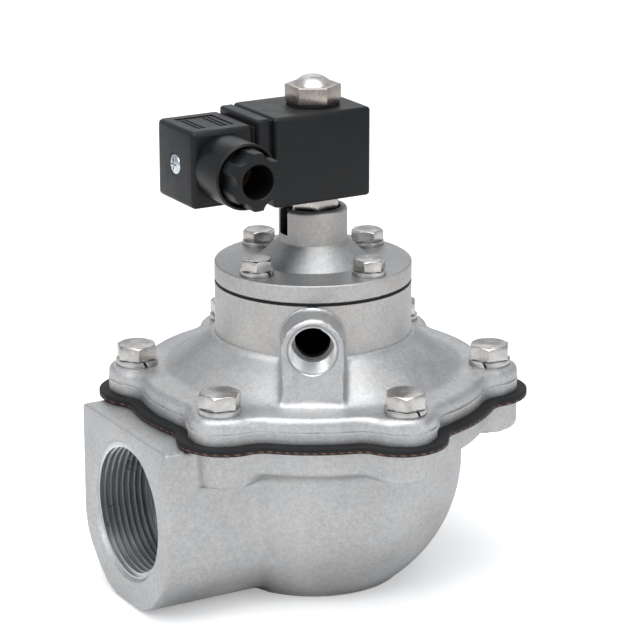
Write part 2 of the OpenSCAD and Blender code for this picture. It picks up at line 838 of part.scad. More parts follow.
module cover_spring_washers() {
    color("lightgray") at_circle(bolt_circle_r, bolt_angles) translate([0, 0, cover_seat_z])
        split_washer(bolt_d + thread_play * 2, washer_od, washer_t, washer_gaps[$i]);
}

module pilot_diaphragm() {
    bleed_r = 0.5;
    color("#1c1f22") difference() {
        union() {
            difference() {
                rod(neck_r, neck_top_z, cap_z);
                rod(pilot_chamber_r - cut, neck_top_z - cut, cap_z + cut);
            }
            dished_disc(pilot_chamber_r - cut, pilot_dish_r, neck_top_z, pilot_seat_z, pilot_t,
                rivet_r + thread_play);
        }
        at_circle(cap_circle_r, cap_angles) rod(cap_clear_r, neck_top_z - cut, cap_z + cut);
        translate([0, pilot_plate_r + 1.5, pilot_seat_z - cut])
            cylinder(pilot_t + 2 * cut, bleed_r, bleed_r);
    }
}

module pilot_plate() {
    color("gainsboro") difference() {
        rod(pilot_plate_r, pilot_plate_z, pilot_plate_top_z);
        rod(rivet_r + thread_play, pilot_plate_z - cut, pilot_plate_top_z + cut);
    }
}

module pilot_rivet() {
    color("goldenrod") {
        rod(rivet_head_r, pilot_seat_z - rivet_head_h, pilot_seat_z);
        rod(rivet_r, pilot_seat_z - rivet_head_h, pilot_plate_top_z + rivet_tip_h / 2);
        rod(rivet_r + 0.8, pilot_plate_top_z, pilot_plate_top_z + rivet_tip_h);
    }
}

module pilot_spring() {
    color("lightsteelblue")
        wound_spring(pilot_spring_r, pilot_wire, pilot_plate_top_z, cap_roof_z, 5, 16, 6);
}

module cap_outside() {
    edge = 1.3;
    rotate_extrude() polygon(concat(
        [[0, cap_z], [neck_r, cap_z]],
        arc([neck_r - edge / 2, cap_seat_z - edge / 2], edge / 2, 0, 90, 3),
        [[cap_cone_r + 1, cap_seat_z], [cap_cone_r - 0.6, cap_seat_z + 0.8]],
        [[collar_r + 0.3, collar_z - 0.4], [collar_r, collar_z + 0.4]],
        arc([collar_r - edge, collar_top_z - edge], edge, 0, 90, 5),
        [[0, collar_top_z]]
    ));
}

module pilot_cap() {
    color("silver") difference() {
        cap_outside();
        rotate_extrude() polygon([
            [0, cap_z - cut], [pilot_chamber_r, cap_z - cut], [pilot_chamber_r, cap_z + 1.5],
            [spring_pocket_r, cap_seat_z], [spring_pocket_r, cap_roof_z], [0, cap_roof_z],
        ]);
        rod(nozzle_bore_r, cap_roof_z - cut, nozzle_z + cut);
        difference() {
            rod(vent_r, vent_floor_z, vent_top_z + cut);
            rod(nozzle_r, vent_floor_z - cut, nozzle_z);
        }
        rod(spigot_r + thread_play, vent_top_z, recess_z + cut);
        rod(recess_r, recess_z, collar_top_z + cut);
        translate([-collar_r - cut, -slot_w / 2, slot_z])
            cube([collar_r + cut, slot_w, collar_h]);
        at_circle(cap_circle_r, cap_angles) rod(cap_clear_r, cap_z - cut, cap_seat_z + cut);
    }
}

module cap_bolts() {
    head_z = cap_seat_z + cap_washer_t;
    color("lightgray") at_circle(cap_circle_r, cap_angles) {
        translate([0, 0, head_z]) hex_head(cap_bolt_af, cap_bolt_head_h, cap_turns[$i]);
        rod(cap_hole_r - thread_play, cap_tip_z, head_z + cut);
    }
}

module cap_spring_washers() {
    color("lightgray") at_circle(cap_circle_r, cap_angles) translate([0, 0, cap_seat_z])
        split_washer(cap_bolt_d + 2 * thread_play, cap_washer_od, cap_washer_t,
            cap_washer_gaps[$i]);
}

module armature_tube() {
    color("#cfc4b2") difference() {
        union() {
            rod(spigot_r, vent_top_z, hex_z + cut);
            translate([0, 0, hex_z]) hex_head(tube_hex_af, tube_hex_h, 12);
            rod(tube_r, hex_z, tube_top_z);
        }
        rod(tube_bore_r, vent_top_z - cut, tube_top_z + cut);
    }
}

module tube_seal() {
    color("black") translate([0, 0, recess_z + tube_seal_t / 2])
        rotate_extrude() translate([spigot_r + tube_seal_t / 2 + press_play, 0])
            circle(tube_seal_t / 2 - press_play);
}

module fixed_core() {
    stud_top = nut_z + nut_hex_h - 0.6;
    color("#bdbab2") {
        rod(tube_bore_r - press_play, core_z, tube_top_z + cut);
        rod(tube_r, tube_top_z, core_top_z);
        rod(stud_r, core_top_z - cut, stud_top);
    }
}

module plunger() {
    color("#9c9a95") difference() {
        rod(plunger_r, plunger_z, plunger_top_z);
        rod(seal_r + press_play, plunger_z - cut, nozzle_z + seal_h);
        rod(plunger_pocket_r, plunger_top_z - plunger_pocket_h, plunger_top_z + cut);
    }
}

module plunger_seal() {
    color("black") rod(seal_r, nozzle_z, nozzle_z + seal_h);
}

module plunger_spring() {
    color("lightsteelblue") wound_spring(plunger_spring_r, plunger_wire,
        plunger_top_z - plunger_pocket_h, core_z, 8, 12, 5);
}

module blade_cutters(grow, x0, x1) {
    for (b = blades) translate([-x1, b.x, plug_mid_z + b.y]) rotate([b.z, 0, 0])
        translate([0, -blade_t / 2 - grow, -blade_w / 2 - grow])
            cube([x1 - x0, blade_t + 2 * grow, blade_w + 2 * grow]);
}

module coil_housing() {
    color("#2a2d31") difference() {
        union() {
            round_box([-coil_front, -coil_w / 2, coil_z], [coil_back, coil_w / 2, coil_top_z],
                coil_edge_r);
            round_box([-base_face, -base_w / 2, base_z],
                [-coil_front + 2 * coil_edge_r, base_w / 2, base_z + base_h], coil_edge_r);
        }
        rod(tube_r + slide_play, coil_z - cut, coil_top_z + cut);
        blade_cutters(0, base_face - blade_root, base_face + cut);
        spoke(plug_screw_r + press_play, plug_mid_z, 180, base_face - plug_screw_grip,
            base_face + cut);
    }
}

module terminal_blades() {
    color("gold") blade_cutters(0, base_face - blade_root, base_face + blade_l);
}

module connector_gasket() {
    w = plug_w - 2;
    h = plug_h - 2;
    color("#34373b") difference() {
        translate([-plug_face, -w / 2, plug_mid_z - h / 2]) cube([gasket_t, w, h]);
        blade_cutters(block_play, base_face - cut, plug_face + cut);
        spoke(plug_screw_r + thread_play, plug_mid_z, 180, base_face - cut, plug_face + cut);
    }
}

module connector_housing() {
    head_x = plug_end - plug_screw_pocket;
    color("#2a2d31") difference() {
        union() {
            round_box([-plug_end, -plug_w / 2, plug_z], [-plug_face, plug_w / 2, plug_z + plug_h],
                plug_edge_r);
            translate([gland_x, 0, gland_z]) rotate([90, 0, 0])
                rod(gland_r, gland_root, gland_reach);
        }
        translate([-plug_end + plug_wall * 2, -plug_w / 2 + plug_wall, plug_z + plug_wall])
            cube([plug_l, plug_w - 2 * plug_wall, plug_h - 2 * plug_wall]);
        spoke(plug_screw_r + thread_play, plug_mid_z, 180, plug_face, plug_end + cut);
        spoke(plug_screw_head_r + block_play, plug_mid_z, 180, head_x, plug_end + cut);
        translate([gland_x, 0, gland_z]) rotate([90, 0, 0]) {
            cylinder(gland_reach + cut, cable_way_r, cable_way_r);
            translate([0, 0, gland_seat])
                cylinder(gland_reach, gland_thread_r + thread_play, gland_thread_r + thread_play);
            translate([0, 0, gland_reach - gland_mouth_d])
                cylinder(gland_mouth_d + cut, gland_mouth_r, gland_mouth_r);
        }
    }
}

module contact_block() {
    x0 = plug_face;
    x1 = plug_end - plug_wall * 2 - block_play;
    half_w = plug_w / 2 - plug_wall - block_play;
    half_h = plug_h / 2 - plug_wall - block_play;
    color("#3a3d42") difference() {
        translate([-x1, -half_w, plug_mid_z - half_h]) cube([x1 - x0, 2 * half_w, 2 * half_h]);
        blade_cutters(block_play / 2, x0 - cut, base_face + blade_l + block_play);
        spoke(plug_screw_r + thread_play, plug_mid_z, 180, x0 - cut, x1 + cut);
        translate([gland_x, -half_w - cut, gland_z]) rotate([90, 0, 0])
            translate([0, 0, -cable_way_r]) cylinder(2 * cable_way_r, cable_way_r, cable_way_r);
    }
}

module connector_screw() {
    head_x = plug_end - plug_screw_pocket;
    color("white") {
        spoke(plug_screw_r, plug_mid_z, 180, base_face - plug_screw_grip + cut, head_x + cut);
        translate([-head_x, 0, plug_mid_z]) rotate([0, -90, 0]) difference() {
            cylinder(plug_screw_head_h, plug_screw_head_r, plug_screw_head_r * 0.75);
            for (a = [0, 90]) rotate(a) translate([-plug_screw_head_r / 2, -0.4, 1])
                cube([plug_screw_head_r, 0.8, plug_screw_head_h]);
        }
    }
}

module gland_nut() {
    flutes = 6;
    flute_r = 7;
    bite = 1.7;
    color("#26292d") translate([gland_x, 0, gland_z]) rotate([90, 0, 0]) difference() {
        union() {
            difference() {
                rod(gland_nut_r, gland_head_foot, gland_nut_reach);
                for (i = [0:flutes - 1]) rotate(360 / flutes * (i + 0.5))
                    translate([gland_nut_r - bite + flute_r, 0, 0])
                        rod(flute_r, gland_head_foot - cut, gland_nut_reach + cut);
            }
            rod(gland_thread_r, gland_head_foot - gland_barrel_l, gland_head_foot + cut);
        }
        rod(cable_r, gland_head_foot - gland_barrel_l - cut, gland_nut_reach + cut);
    }
}

module gland_washer() {
    color("#b08d57") translate([gland_x, 0, gland_z]) rotate([90, 0, 0]) difference() {
        rod(gland_thread_r - slide_play, gland_stack - gland_washer_t, gland_stack);
        rod(cable_r, gland_stack - gland_washer_t - cut, gland_stack + cut);
    }
}

module gland_grommet() {
    color("#5a4433") translate([gland_x, 0, gland_z]) rotate([90, 0, 0]) difference() {
        rod(gland_thread_r - slide_play, gland_seat, gland_stack - gland_washer_t);
        rod(cable_r - 1, gland_seat - cut, gland_stack + cut);
    }
}

module coil_nut() {
    ball_r = (dome_r * dome_r + dome_h * dome_h) / (2 * dome_h);
    top = nut_z + nut_hex_h;
    color("gainsboro") difference() {
        union() {
            translate([0, 0, nut_z]) hex_head(nut_af, nut_hex_h, nut_turn);
            intersection() {
                translate([0, 0, top + dome_h - ball_r]) sphere(ball_r);
                rod(dome_r, top - cut, top + dome_h + cut);
            }
        }
        rod(stud_r + thread_play, nut_z - cut, top);
    }
}

module nut_ring() {
    color("black") difference() {
        rod(nut_af / 2 + 0.7, coil_top_z + turn_play, nut_z);
        rod(tube_r + slide_play, coil_top_z, nut_z + cut);
    }
}

valve_body();
main_diaphragm();
diaphragm_top_plate();
diaphragm_bottom_disc();
diaphragm_screw();
diaphragm_washer();
diaphragm_nut();
main_spring();
main_cover();
cover_bolts();
cover_spring_washers();
pilot_diaphragm();
pilot_plate();
pilot_rivet();
pilot_spring();
pilot_cap();
cap_bolts();
cap_spring_washers();
armature_tube();
tube_seal();
fixed_core();
plunger();
plunger_seal();
plunger_spring();
coil_housing();
terminal_blades();
connector_gasket();
connector_housing();
contact_block();
connector_screw();
gland_nut();
gland_washer();
gland_grommet();
coil_nut();
nut_ring();
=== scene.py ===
import math

import bmesh
import bpy
from mathutils import Matrix, Vector


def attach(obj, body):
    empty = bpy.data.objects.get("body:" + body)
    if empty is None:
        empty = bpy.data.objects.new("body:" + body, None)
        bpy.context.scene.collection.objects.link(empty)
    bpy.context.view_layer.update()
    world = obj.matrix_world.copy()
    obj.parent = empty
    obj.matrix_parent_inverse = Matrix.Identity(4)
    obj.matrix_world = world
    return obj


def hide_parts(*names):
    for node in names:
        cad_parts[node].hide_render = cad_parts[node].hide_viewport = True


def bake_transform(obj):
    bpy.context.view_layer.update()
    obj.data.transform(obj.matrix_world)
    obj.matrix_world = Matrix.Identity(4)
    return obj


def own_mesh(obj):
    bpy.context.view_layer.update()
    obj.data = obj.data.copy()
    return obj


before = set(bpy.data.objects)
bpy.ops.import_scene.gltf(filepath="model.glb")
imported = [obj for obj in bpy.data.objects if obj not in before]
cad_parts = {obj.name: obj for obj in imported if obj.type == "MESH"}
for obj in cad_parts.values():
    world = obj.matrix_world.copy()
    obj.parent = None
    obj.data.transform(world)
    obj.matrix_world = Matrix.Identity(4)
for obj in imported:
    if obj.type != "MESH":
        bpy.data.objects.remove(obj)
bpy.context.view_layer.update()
MM = 0.001


# ---- Studio -------------------------------------------------------------------------------------
# A pale floor under soft lamps, in a white room that the metal reflects, and a long lens a metre
# away that looks down on the valve past its exhaust port.

def rgb(grey, warm=0.0):
    """A near-grey colour, warmer or cooler than neutral by the share warm."""
    return (grey * (1 + warm), grey, grey * (1 - warm), 1)


scene = bpy.context.scene
scene.view_settings.view_transform = "Standard"

look = Vector((0.4775, 0.8280, -0.2940))
bpy.ops.object.camera_add(location=(-0.4776, -0.8331, 0.3883),
                          rotation=look.to_track_quat("-Z", "Y").to_euler())
camera = bpy.context.object
camera.name = "camera"
camera.data.sensor_width = 36
camera.data.lens = 160.03
camera.data.clip_end = 30
scene.camera = camera


def softbox(name, at, size, power):
    """A soft rectangular lamp that faces the middle of the valve."""
    aim = Vector((0, 0, 0.09)) - Vector(at)
    bpy.ops.object.light_add(type="AREA", location=at, rotation=aim.to_track_quat("-Z", "Y").to_euler())
    lamp = bpy.context.object
    lamp.name = name
    lamp.data.shape = "RECTANGLE"
    lamp.data.size, lamp.data.size_y = size
    lamp.data.energy = power


softbox("top_lamp", (-0.12, -0.20, 1.20), (1.0, 1.0), 11)
softbox("key_lamp", (-1.15, -0.35, 0.95), (0.8, 0.8), 7)
softbox("fill_lamp", (0.35, -1.40, 0.75), (0.8, 1.0), 3.8)
softbox("rim_lamp", (0.55, 1.15, 0.95), (0.9, 0.5), 1.5)


def added(tree, kind, settings=None, values=None, out=0):
    """Adds a node with its settings, gives its sockets values or links, and gives back an output."""
    made = tree.nodes.new("ShaderNode" + kind)
    for key, value in (settings or {}).items():
        setattr(made, key, value)
    for key, value in (values or {}).items():
        if isinstance(value, bpy.types.NodeSocket):
            tree.links.new(value, made.inputs[key])
        else:
            made.inputs[key].default_value = value
    return made.outputs[out] if made.outputs else None


world = bpy.data.worlds.new("white_room")
scene.world = world
world.use_nodes = True
room = world.node_tree
room.nodes.clear()
dim = added(room, "Background", None, {"Color": (0.93, 0.96, 1.0, 1), "Strength": 0.55})
white = added(room, "Background", None, {"Color": (1, 1, 1, 1)})
seen = added(room, "LightPath", out="Is Camera Ray")
added(room, "OutputWorld", None, {"Surface": added(room, "MixShader", None, {0: seen, 1: dim, 2: white})})

bpy.ops.object.select_all(action="DESELECT")
bpy.ops.mesh.primitive_plane_add(size=12, location=(0, 0, -0.0002))
floor = bpy.context.object
floor.name = "floor"
paper = bpy.data.materials.new("white_paper")
paper.use_nodes = True
sheet = paper.node_tree
sheet.nodes.clear()
matt = added(sheet, "BsdfDiffuse", None, {"Color": (0.86, 0.86, 0.86, 1)})
seen = added(sheet, "LightPath", out="Is Camera Ray")
glow = added(sheet, "Emission", None,
             {"Strength": added(sheet, "Math", {"operation": "MULTIPLY"}, {0: seen, 1: 0.30})})
added(sheet, "OutputMaterial", None, {"Surface": added(sheet, "AddShader", None, {0: matt, 1: glow})})
floor.data.materials.append(paper)


# ---- Valve body ---------------------------------------------------------------------------------
# An aluminium casting, bead-blasted all over: a block with the threaded inlet, a ball-shaped bowl
# and a flange with six lobes. The inlet face, the joint and the bores are machined afterwards, so
# every cast corner is soft and every machined edge is crisp.

INLET_FACE = -75.2
INLET_AXIS = 34.5
JOINT = 65.0
PIPE_CORE = 22.43
PIPE_ROOT = 23.9
PIPE_PITCH = 2.309
PIPE_DEPTH = 22.0
BOLT_CIRCLE = 62.5
BOLT_ANGLES = [math.radians(30 + 60 * i) for i in range(6)]
LOBE_CIRCLE, LOBE_R, LOBE_BLEND_R, VALLEY_R = 59.5, 12.5, 13.0, 62.0
OUTLINE_STEP = 1.1
INLET_HALF, INLET_CHAMFER = 32.4, 17.5
CORNER_R = 20.0
FLANGE_FOOT = 55.0
FLANGE_EDGE = 2.6
BOWL_R = 53.0
COVE = 7.0
SKIN_GRAIN, SKIN_PASSES = 1.0, 4
RING_PITCH = 0.32


class Wire:
    """One output of a node. Arithmetic on it adds Math nodes."""

    def __init__(self, finish, socket):
        self.finish = finish
        self.socket = socket

    def _maths(self, operation, *values):
        return self.finish.node("Math", {"operation": operation}, dict(enumerate(values)))

    def __add__(self, other):
        return self._maths("ADD", self, other)

    def __radd__(self, other):
        return self._maths("ADD", other, self)

    def __sub__(self, other):
        return self._maths("SUBTRACT", self, other)

    def __rsub__(self, other):
        return self._maths("SUBTRACT", other, self)

    def __mul__(self, other):
        return self._maths("MULTIPLY", self, other)

    def __rmul__(self, other):
        return self._maths("MULTIPLY", other, self)

    def above(self, other):
        return self._maths("GREATER_THAN", self, other)

    def below(self, other):
        return self._maths("LESS_THAN", self, other)


class Finish:
    """A material under construction: one Principled shader and the nodes that feed it."""

    def __init__(self, name, **fixed):
        self.material = bpy.data.materials.new(name)
        self.material.use_nodes = True
        self.tree = self.material.node_tree
        self.shader = next(n for n in self.tree.nodes if n.type == "BSDF_PRINCIPLED")
        for key, value in fixed.items():
            self.input(key).default_value = value
        self.place = self.node("TexCoord", out="Object")

    def input(self, key):
        """The shader's socket for a keyword such as base_color."""
        return self.shader.inputs["IOR" if key == "ior" else key.replace("_", " ").title()]

    def node(self, kind, settings=None, values=None, out=0):
        """Adds a node whose values may be wires, and gives back its output as a wire."""
        plain = {key: value.socket if isinstance(value, Wire) else value
                 for key, value in (values or {}).items()}
        return Wire(self, added(self.tree, kind, settings, plain, out))

    def noise(self, size, detail, z_scale=1):
        """Noise from 0 to 1 whose lumps are about size mm across, and as tall as size / z_scale."""
        place = self.place
        if z_scale != 1:
            place = self.node("VectorMath", {"operation": "MULTIPLY"}, {0: place, 1: (1, 1, z_scale)})
        return self.node("TexNoise", None, {"Vector": place, "Scale": 1 / (size * MM),
                                            "Detail": detail, "Roughness": 0.55})

    def blend(self, share, low, high):
        """Colour from low to high as share goes from 0 to 1."""
        return self.node("Mix", {"data_type": "RGBA"}, {0: share, 6: low, 7: high}, out=2)

    def ramp(self, share, low, high, start, stop):
        """Number from low to high as share goes from start to stop."""
        return self.node("MapRange", None, {0: share, 1: start, 2: stop, 3: low, 4: high})

    def axis(self):
        """The three coordinates in metres."""
        outs = self.node("SeparateXYZ", None, {0: self.place}).socket.node.outputs
        return [Wire(self, outs[i]) for i in range(3)]

    def feed(self, **wires):
        """Links wires to the shader's sockets, and gives back the finished material."""
        for key, wire in wires.items():
            self.tree.links.new(wire.socket, self.input(key))
        return self.material

    def bump(self, height, depth):
        """A Bump node whose height of 1 stands for depth mm."""
        return self.node("Bump", None, {"Height": height, "Distance": depth * MM, "Strength": 1.0})


def blasted_aluminium(name, light, warm, grain=0.55):
    """Cast aluminium after bead-blasting: a fine even grain, faint clouds and a few pits."""
    f = Finish(name, metallic=1.0)
    fine = f.noise(grain, 2)
    coarse = f.noise(grain * 3.2, 2)
    cloud = f.noise(22, 3)
    pits = f.noise(1.6, 1)
    speckle = f.ramp(fine, -0.5, 0.5, 0.36, 0.64) + f.ramp(coarse, -0.3, 0.3, 0.36, 0.64)
    shade = speckle * 0.62 + f.ramp(cloud, -0.28, 0.28, 0.35, 0.65)
    tint = f.ramp(f.noise(15, 2), 0, 1, 0.36, 0.64)
    dark, pale = [f.blend(tint, rgb(light * share, warm + 0.018), rgb(light * share, warm - 0.016))
                  for share in (0.84, 1.16)]
    colour = f.blend(0.5 + shade, dark, pale)
    rough = f.ramp(cloud, 0.44, 0.56, 0.3, 0.7) + (fine - 0.5) * 0.12
    dents = f.ramp(pits, -1.0, 0.0, 0.22, 0.33)
    height = fine * 0.55 + coarse * 0.45 + dents * 0.5
    return f.feed(base_color=colour, roughness=rough, normal=f.bump(height, 0.085))


def milled_aluminium(name, light, across, warm=0.0, crest=None, way=0.0):
    """Aluminium faced in a mill or a lathe, with fine rings about a centre. across gives the centre, as
    two axes and their values in mm, and way the angle that the X axis is turned to. With a crest
    radius it is a thread, with painted shade in its grooves that leaves the crests looking lit."""
    f = Finish(name, metallic=1.0)
    x, y, z = f.axis()
    xyz = (x * math.cos(way) + y * math.sin(way), y * math.cos(way) - x * math.sin(way), z)
    (i, a), (j, b) = across
    u = xyz[i] - a * MM
    v = xyz[j] - b * MM
    reach = f.node("Math", {"operation": "SQRT"}, {0: u * u + v * v})
    rings = f.node("Math", {"operation": "SINE"}, {0: reach * (2 * math.pi / (RING_PITCH * MM))})
    wander = f.noise(9, 2)
    colour = f.blend(wander, rgb(light * 0.93, warm), rgb(light * 1.07, warm))
    # Painted shade: a thread's grooves are darkened by their radius, to stand for the shade in them.
    if crest:
        colour = f.blend(f.ramp(reach, 0, 1, (crest + 0.12) * MM, (crest + 0.6) * MM), colour,
                         rgb(light * 0.7, warm))
    rough = f.ramp(wander, 0.26, 0.36, 0.3, 0.7)
    height = rings * 0.5 + f.noise(0.5, 1) * 0.6
    return f.feed(base_color=colour, roughness=rough, normal=f.bump(height, 0.014))


def alone(obj):
    """Selects obj and nothing else."""
    bpy.ops.object.select_all(action="DESELECT")
    obj.select_set(True)
    bpy.context.view_layer.objects.active = obj
    return obj


def modify(obj, kind, **settings):
    """Adds one modifier and applies it."""
    alone(obj)
    made = obj.modifiers.new(kind.lower(), kind)
    for key, value in settings.items():
        setattr(made, key, value)
    bpy.ops.object.modifier_apply(modifier=made.name)
    return obj


def bevelled(obj, width, segments, angle=30):
    """Takes off every edge sharper than the angle, width mm wide."""
    return modify(obj, "BEVEL", width=width * MM, segments=segments, limit_method="ANGLE",
                  angle_limit=math.radians(angle))


def carve(obj, *tools, operation="DIFFERENCE"):
    """Cuts the tools out of obj, or joins them to it, and removes them."""
    for tool in tools:
        modify(obj, "BOOLEAN", object=tool, operation=operation, solver="MANIFOLD")
        bpy.data.objects.remove(tool)
    return obj


def pick(obj, test):
    """In edit mode, selects the faces whose centre in mm and normal pass the test."""
    bpy.ops.mesh.select_mode(type="FACE")
    bpy.ops.mesh.select_all(action="DESELECT")
    mesh = bmesh.from_edit_mesh(obj.data)
    for face in mesh.faces:
        face.select_set(test(face.calc_center_median() / MM, face.normal))
    bmesh.update_edit_mesh(obj.data)


def rod(r, start, end, name="rod", sides=96):
    """A round bar between two points in mm."""
    start, end = Vector(start) * MM, Vector(end) * MM
    bpy.ops.object.select_all(action="DESELECT")
    bpy.ops.mesh.primitive_cylinder_add(vertices=sides, radius=r * MM, depth=(end - start).length,
                                        location=(start + end) / 2,
                                        rotation=(end - start).to_track_quat("Z", "Y").to_euler())
    obj = bpy.context.object
    obj.name = name
    bpy.ops.object.transform_apply()
    return obj


def on_circle(r, angle, z):
    return Vector((r * math.cos(angle), r * math.sin(angle), z))


def post(r, circle, angle, z0, z1, sides=96):
    """A round bar that stands on a circle about the valve's axis."""
    return rod(r, on_circle(circle, angle, z0), on_circle(circle, angle, z1), sides=sides)


def block(low, high, name="block"):
    """A box between two corners in mm."""
    low, high = Vector(low) * MM, Vector(high) * MM
    bpy.ops.object.select_all(action="DESELECT")
    bpy.ops.mesh.primitive_cube_add(size=1, location=(low + high) / 2)
    obj = bpy.context.object
    obj.name = name
    obj.scale = high - low
    bpy.ops.object.transform_apply()
    return obj


def placed(obj, at=(0, 0, 0), turn=None):
    """Turns obj about the origin by a matrix, moves it by at in mm, and settles it."""
    obj.matrix_world = Matrix.Translation(Vector(at) * MM) @ (turn or Matrix.Identity(4))
    alone(obj)
    bpy.ops.object.transform_apply()
    return obj


def drawn_line(name, points):
    """A chain of edges through points (radius, height) in mm, over the X axis. It stays in edit mode."""
    bpy.ops.object.select_all(action="DESELECT")
    bpy.ops.mesh.primitive_plane_add(size=MM)
    obj = bpy.context.object
    obj.name = name
    bpy.ops.object.mode_set(mode="EDIT")
    bpy.ops.mesh.select_mode(type="VERT")
    bpy.ops.mesh.select_all(action="SELECT")
    bpy.ops.mesh.merge(type="CENTER")
    at = Vector((0, 0, 0))
    for k, (r, z) in enumerate(points):
        to = Vector((r, 0, z)) * MM
        if k:
            bpy.ops.mesh.extrude_vertices_move(TRANSFORM_OT_translate={"value": to - at})
        else:
            bpy.ops.transform.translate(value=to)
        at = to
    return obj


def closed_up(obj):
    """In edit mode, turns every face outwards, and leaves that mode."""
    bpy.ops.mesh.select_all(action="SELECT")
    bpy.ops.mesh.normals_make_consistent(inside=False)
    bpy.ops.object.mode_set(mode="OBJECT")
    return obj


def trim(z0, z1):
    """In edit mode, cuts off what is below z0 or above z1, in mm, and closes the ends."""
    for z, way in ((z0, -1), (z1, 1)):
        bpy.ops.mesh.select_all(action="SELECT")
        bpy.ops.mesh.bisect(plane_co=(0, 0, z * MM), plane_no=(0, 0, way), use_fill=True,
                            clear_outer=True, threshold=1e-7)


def turned(section, name="turned", steps=128):
    """A piece off the lathe: a half section, closed or from axis to axis, spun about the Z axis."""
    obj = drawn_line(name, section)
    bpy.ops.mesh.select_all(action="SELECT")
    bpy.ops.mesh.spin(steps=steps, angle=2 * math.pi, center=(0, 0, 0), axis=(0, 0, 1))
    bpy.ops.mesh.select_all(action="SELECT")
    bpy.ops.mesh.remove_doubles(threshold=0.01 * MM)
    return closed_up(obj)


def screw_tap(core, root, pitch, z0, z1, steps=96):
    """What a tap cuts: a bar with a screw thread, from height z0 to z1."""
    ridge = [(root, 0), (root, 0.12), (core, 0.43), (core, 0.57), (root, 0.88), (root, 1)]
    start = z0 - 1.513 * pitch
    obj = drawn_line("tap", [(r, start + z * pitch) for r, z in ridge])
    bpy.ops.object.mode_set(mode="OBJECT")
    turns = math.ceil((z1 - z0) / pitch) + 2
    modify(obj, "SCREW", screw_offset=pitch * MM, iterations=turns, steps=steps, render_steps=steps,
           use_merge_vertices=True, merge_threshold=0.01 * MM)
    bpy.ops.object.mode_set(mode="EDIT")
    bpy.ops.mesh.select_all(action="SELECT")
    bpy.ops.mesh.remove_doubles(threshold=0.02 * MM)
    trim(z0, z1)
    return closed_up(obj)


def lobed_outline(grown):
    """Points in mm along the flange's outline, grown outwards."""
    valley, lobe, blend = VALLEY_R + grown, LOBE_R + grown, LOBE_BLEND_R - grown
    far, near = valley + blend, lobe + blend
    phi = math.acos((LOBE_CIRCLE ** 2 + far ** 2 - near ** 2) / (2 * LOBE_CIRCLE * far))
    f = Vector((far * math.cos(phi), far * math.sin(phi)))
    delta = math.atan2(f.y, f.x - LOBE_CIRCLE)

    def arc(centre, r, a0, a1):
        n = max(2, round(abs(a1 - a0) * r / OUTLINE_STEP))
        return [Vector((centre[0] + r * math.cos(a0 + (a1 - a0) * i / n),
                        centre[1] + r * math.sin(a0 + (a1 - a0) * i / n))) for i in range(1, n + 1)]

    lobe_points = (arc((f.x, -f.y), blend, -math.pi - phi, -math.pi - delta)
                   + arc((LOBE_CIRCLE, 0), lobe, -delta, delta)
                   + arc(f, blend, math.pi + delta, math.pi + phi)
                   + arc((0, 0), valley, phi, math.pi / 3 - phi))
    return [Matrix.Rotation(a, 2) @ p for a in BOLT_ANGLES for p in lobe_points]


def sheet_of(outline, z0, z1, name):
    """A flat sheet with the given outline in mm, from height z0 to z1."""
    bpy.ops.object.select_all(action="DESELECT")
    bpy.ops.mesh.primitive_circle_add(vertices=len(outline), radius=60 * MM, fill_type="NGON")
    obj = bpy.context.object
    obj.name = name
    for vertex, point in zip(obj.data.vertices, outline):
        vertex.co = Vector((point.x, point.y, z0)) * MM
    bpy.ops.object.mode_set(mode="EDIT")
    bpy.ops.mesh.select_all(action="SELECT")
    bpy.ops.mesh.extrude_region_move(TRANSFORM_OT_translate={"value": (0, 0, (z1 - z0) * MM)})
    return closed_up(obj)


def flange_blank(z0, z1, name):
    """The lobed flange with soft edges, as a ring round the chamber."""
    obj = bevelled(sheet_of(lobed_outline(0), z0, z1, name), FLANGE_EDGE, 4, 50)
    return carve(obj, rod(50, (0, 0, z0 - 2), (0, 0, z1 + 2)))


def bend(r, z, radius, start, stop, steps):
    """Points (radius, height) along an arc of a section, angles in degrees."""
    angles = [math.radians(start + (stop - start) * k / steps) for k in range(steps + 1)]
    return [(r + radius * math.cos(a), z + radius * math.sin(a)) for a in angles]


def soft_corner(corner, side, reach):
    """Waste that rounds one corner of the inlet block's lower chamfer, given as (across, height), as far
    as x = reach."""
    across, up = corner
    t = CORNER_R * math.tan(math.pi / 8)
    low = up < 1
    centre = (across - t, up + CORNER_R) if low else (across - CORNER_R, up + t)
    arc = bend(*centre, CORNER_R, -90 if low else -45, -45 if low else 0, 6)
    tip = (across + 1, up - 2) if low else (across + 2, up - 1)
    outline = [Vector((y * side, z)) for y, z in [*arc, tip]]
    turn = Matrix(((0, 0, 1, 0), (1, 0, 0, 0), (0, 1, 0, 0), (0, 0, 0, 1)))
    return placed(sheet_of(outline, INLET_FACE - 5, reach, "corner_waste"), turn=turn)


def ranked(pattern, r, angles, z, turns):
    """Copies a piece to each place of a circle, with its own turn in degrees, as one object."""
    copies = []
    for angle, turn in zip(angles, turns):
        twin = bpy.data.objects.new(pattern.name, pattern.data.copy())
        scene.collection.objects.link(twin)
        copies.append(placed(twin, on_circle(r, angle, z), Matrix.Rotation(math.radians(turn), 4, "Z")))
    bpy.data.objects.remove(pattern)
    for twin in copies:
        twin.select_set(True)
    bpy.ops.object.join()
    return bpy.context.object


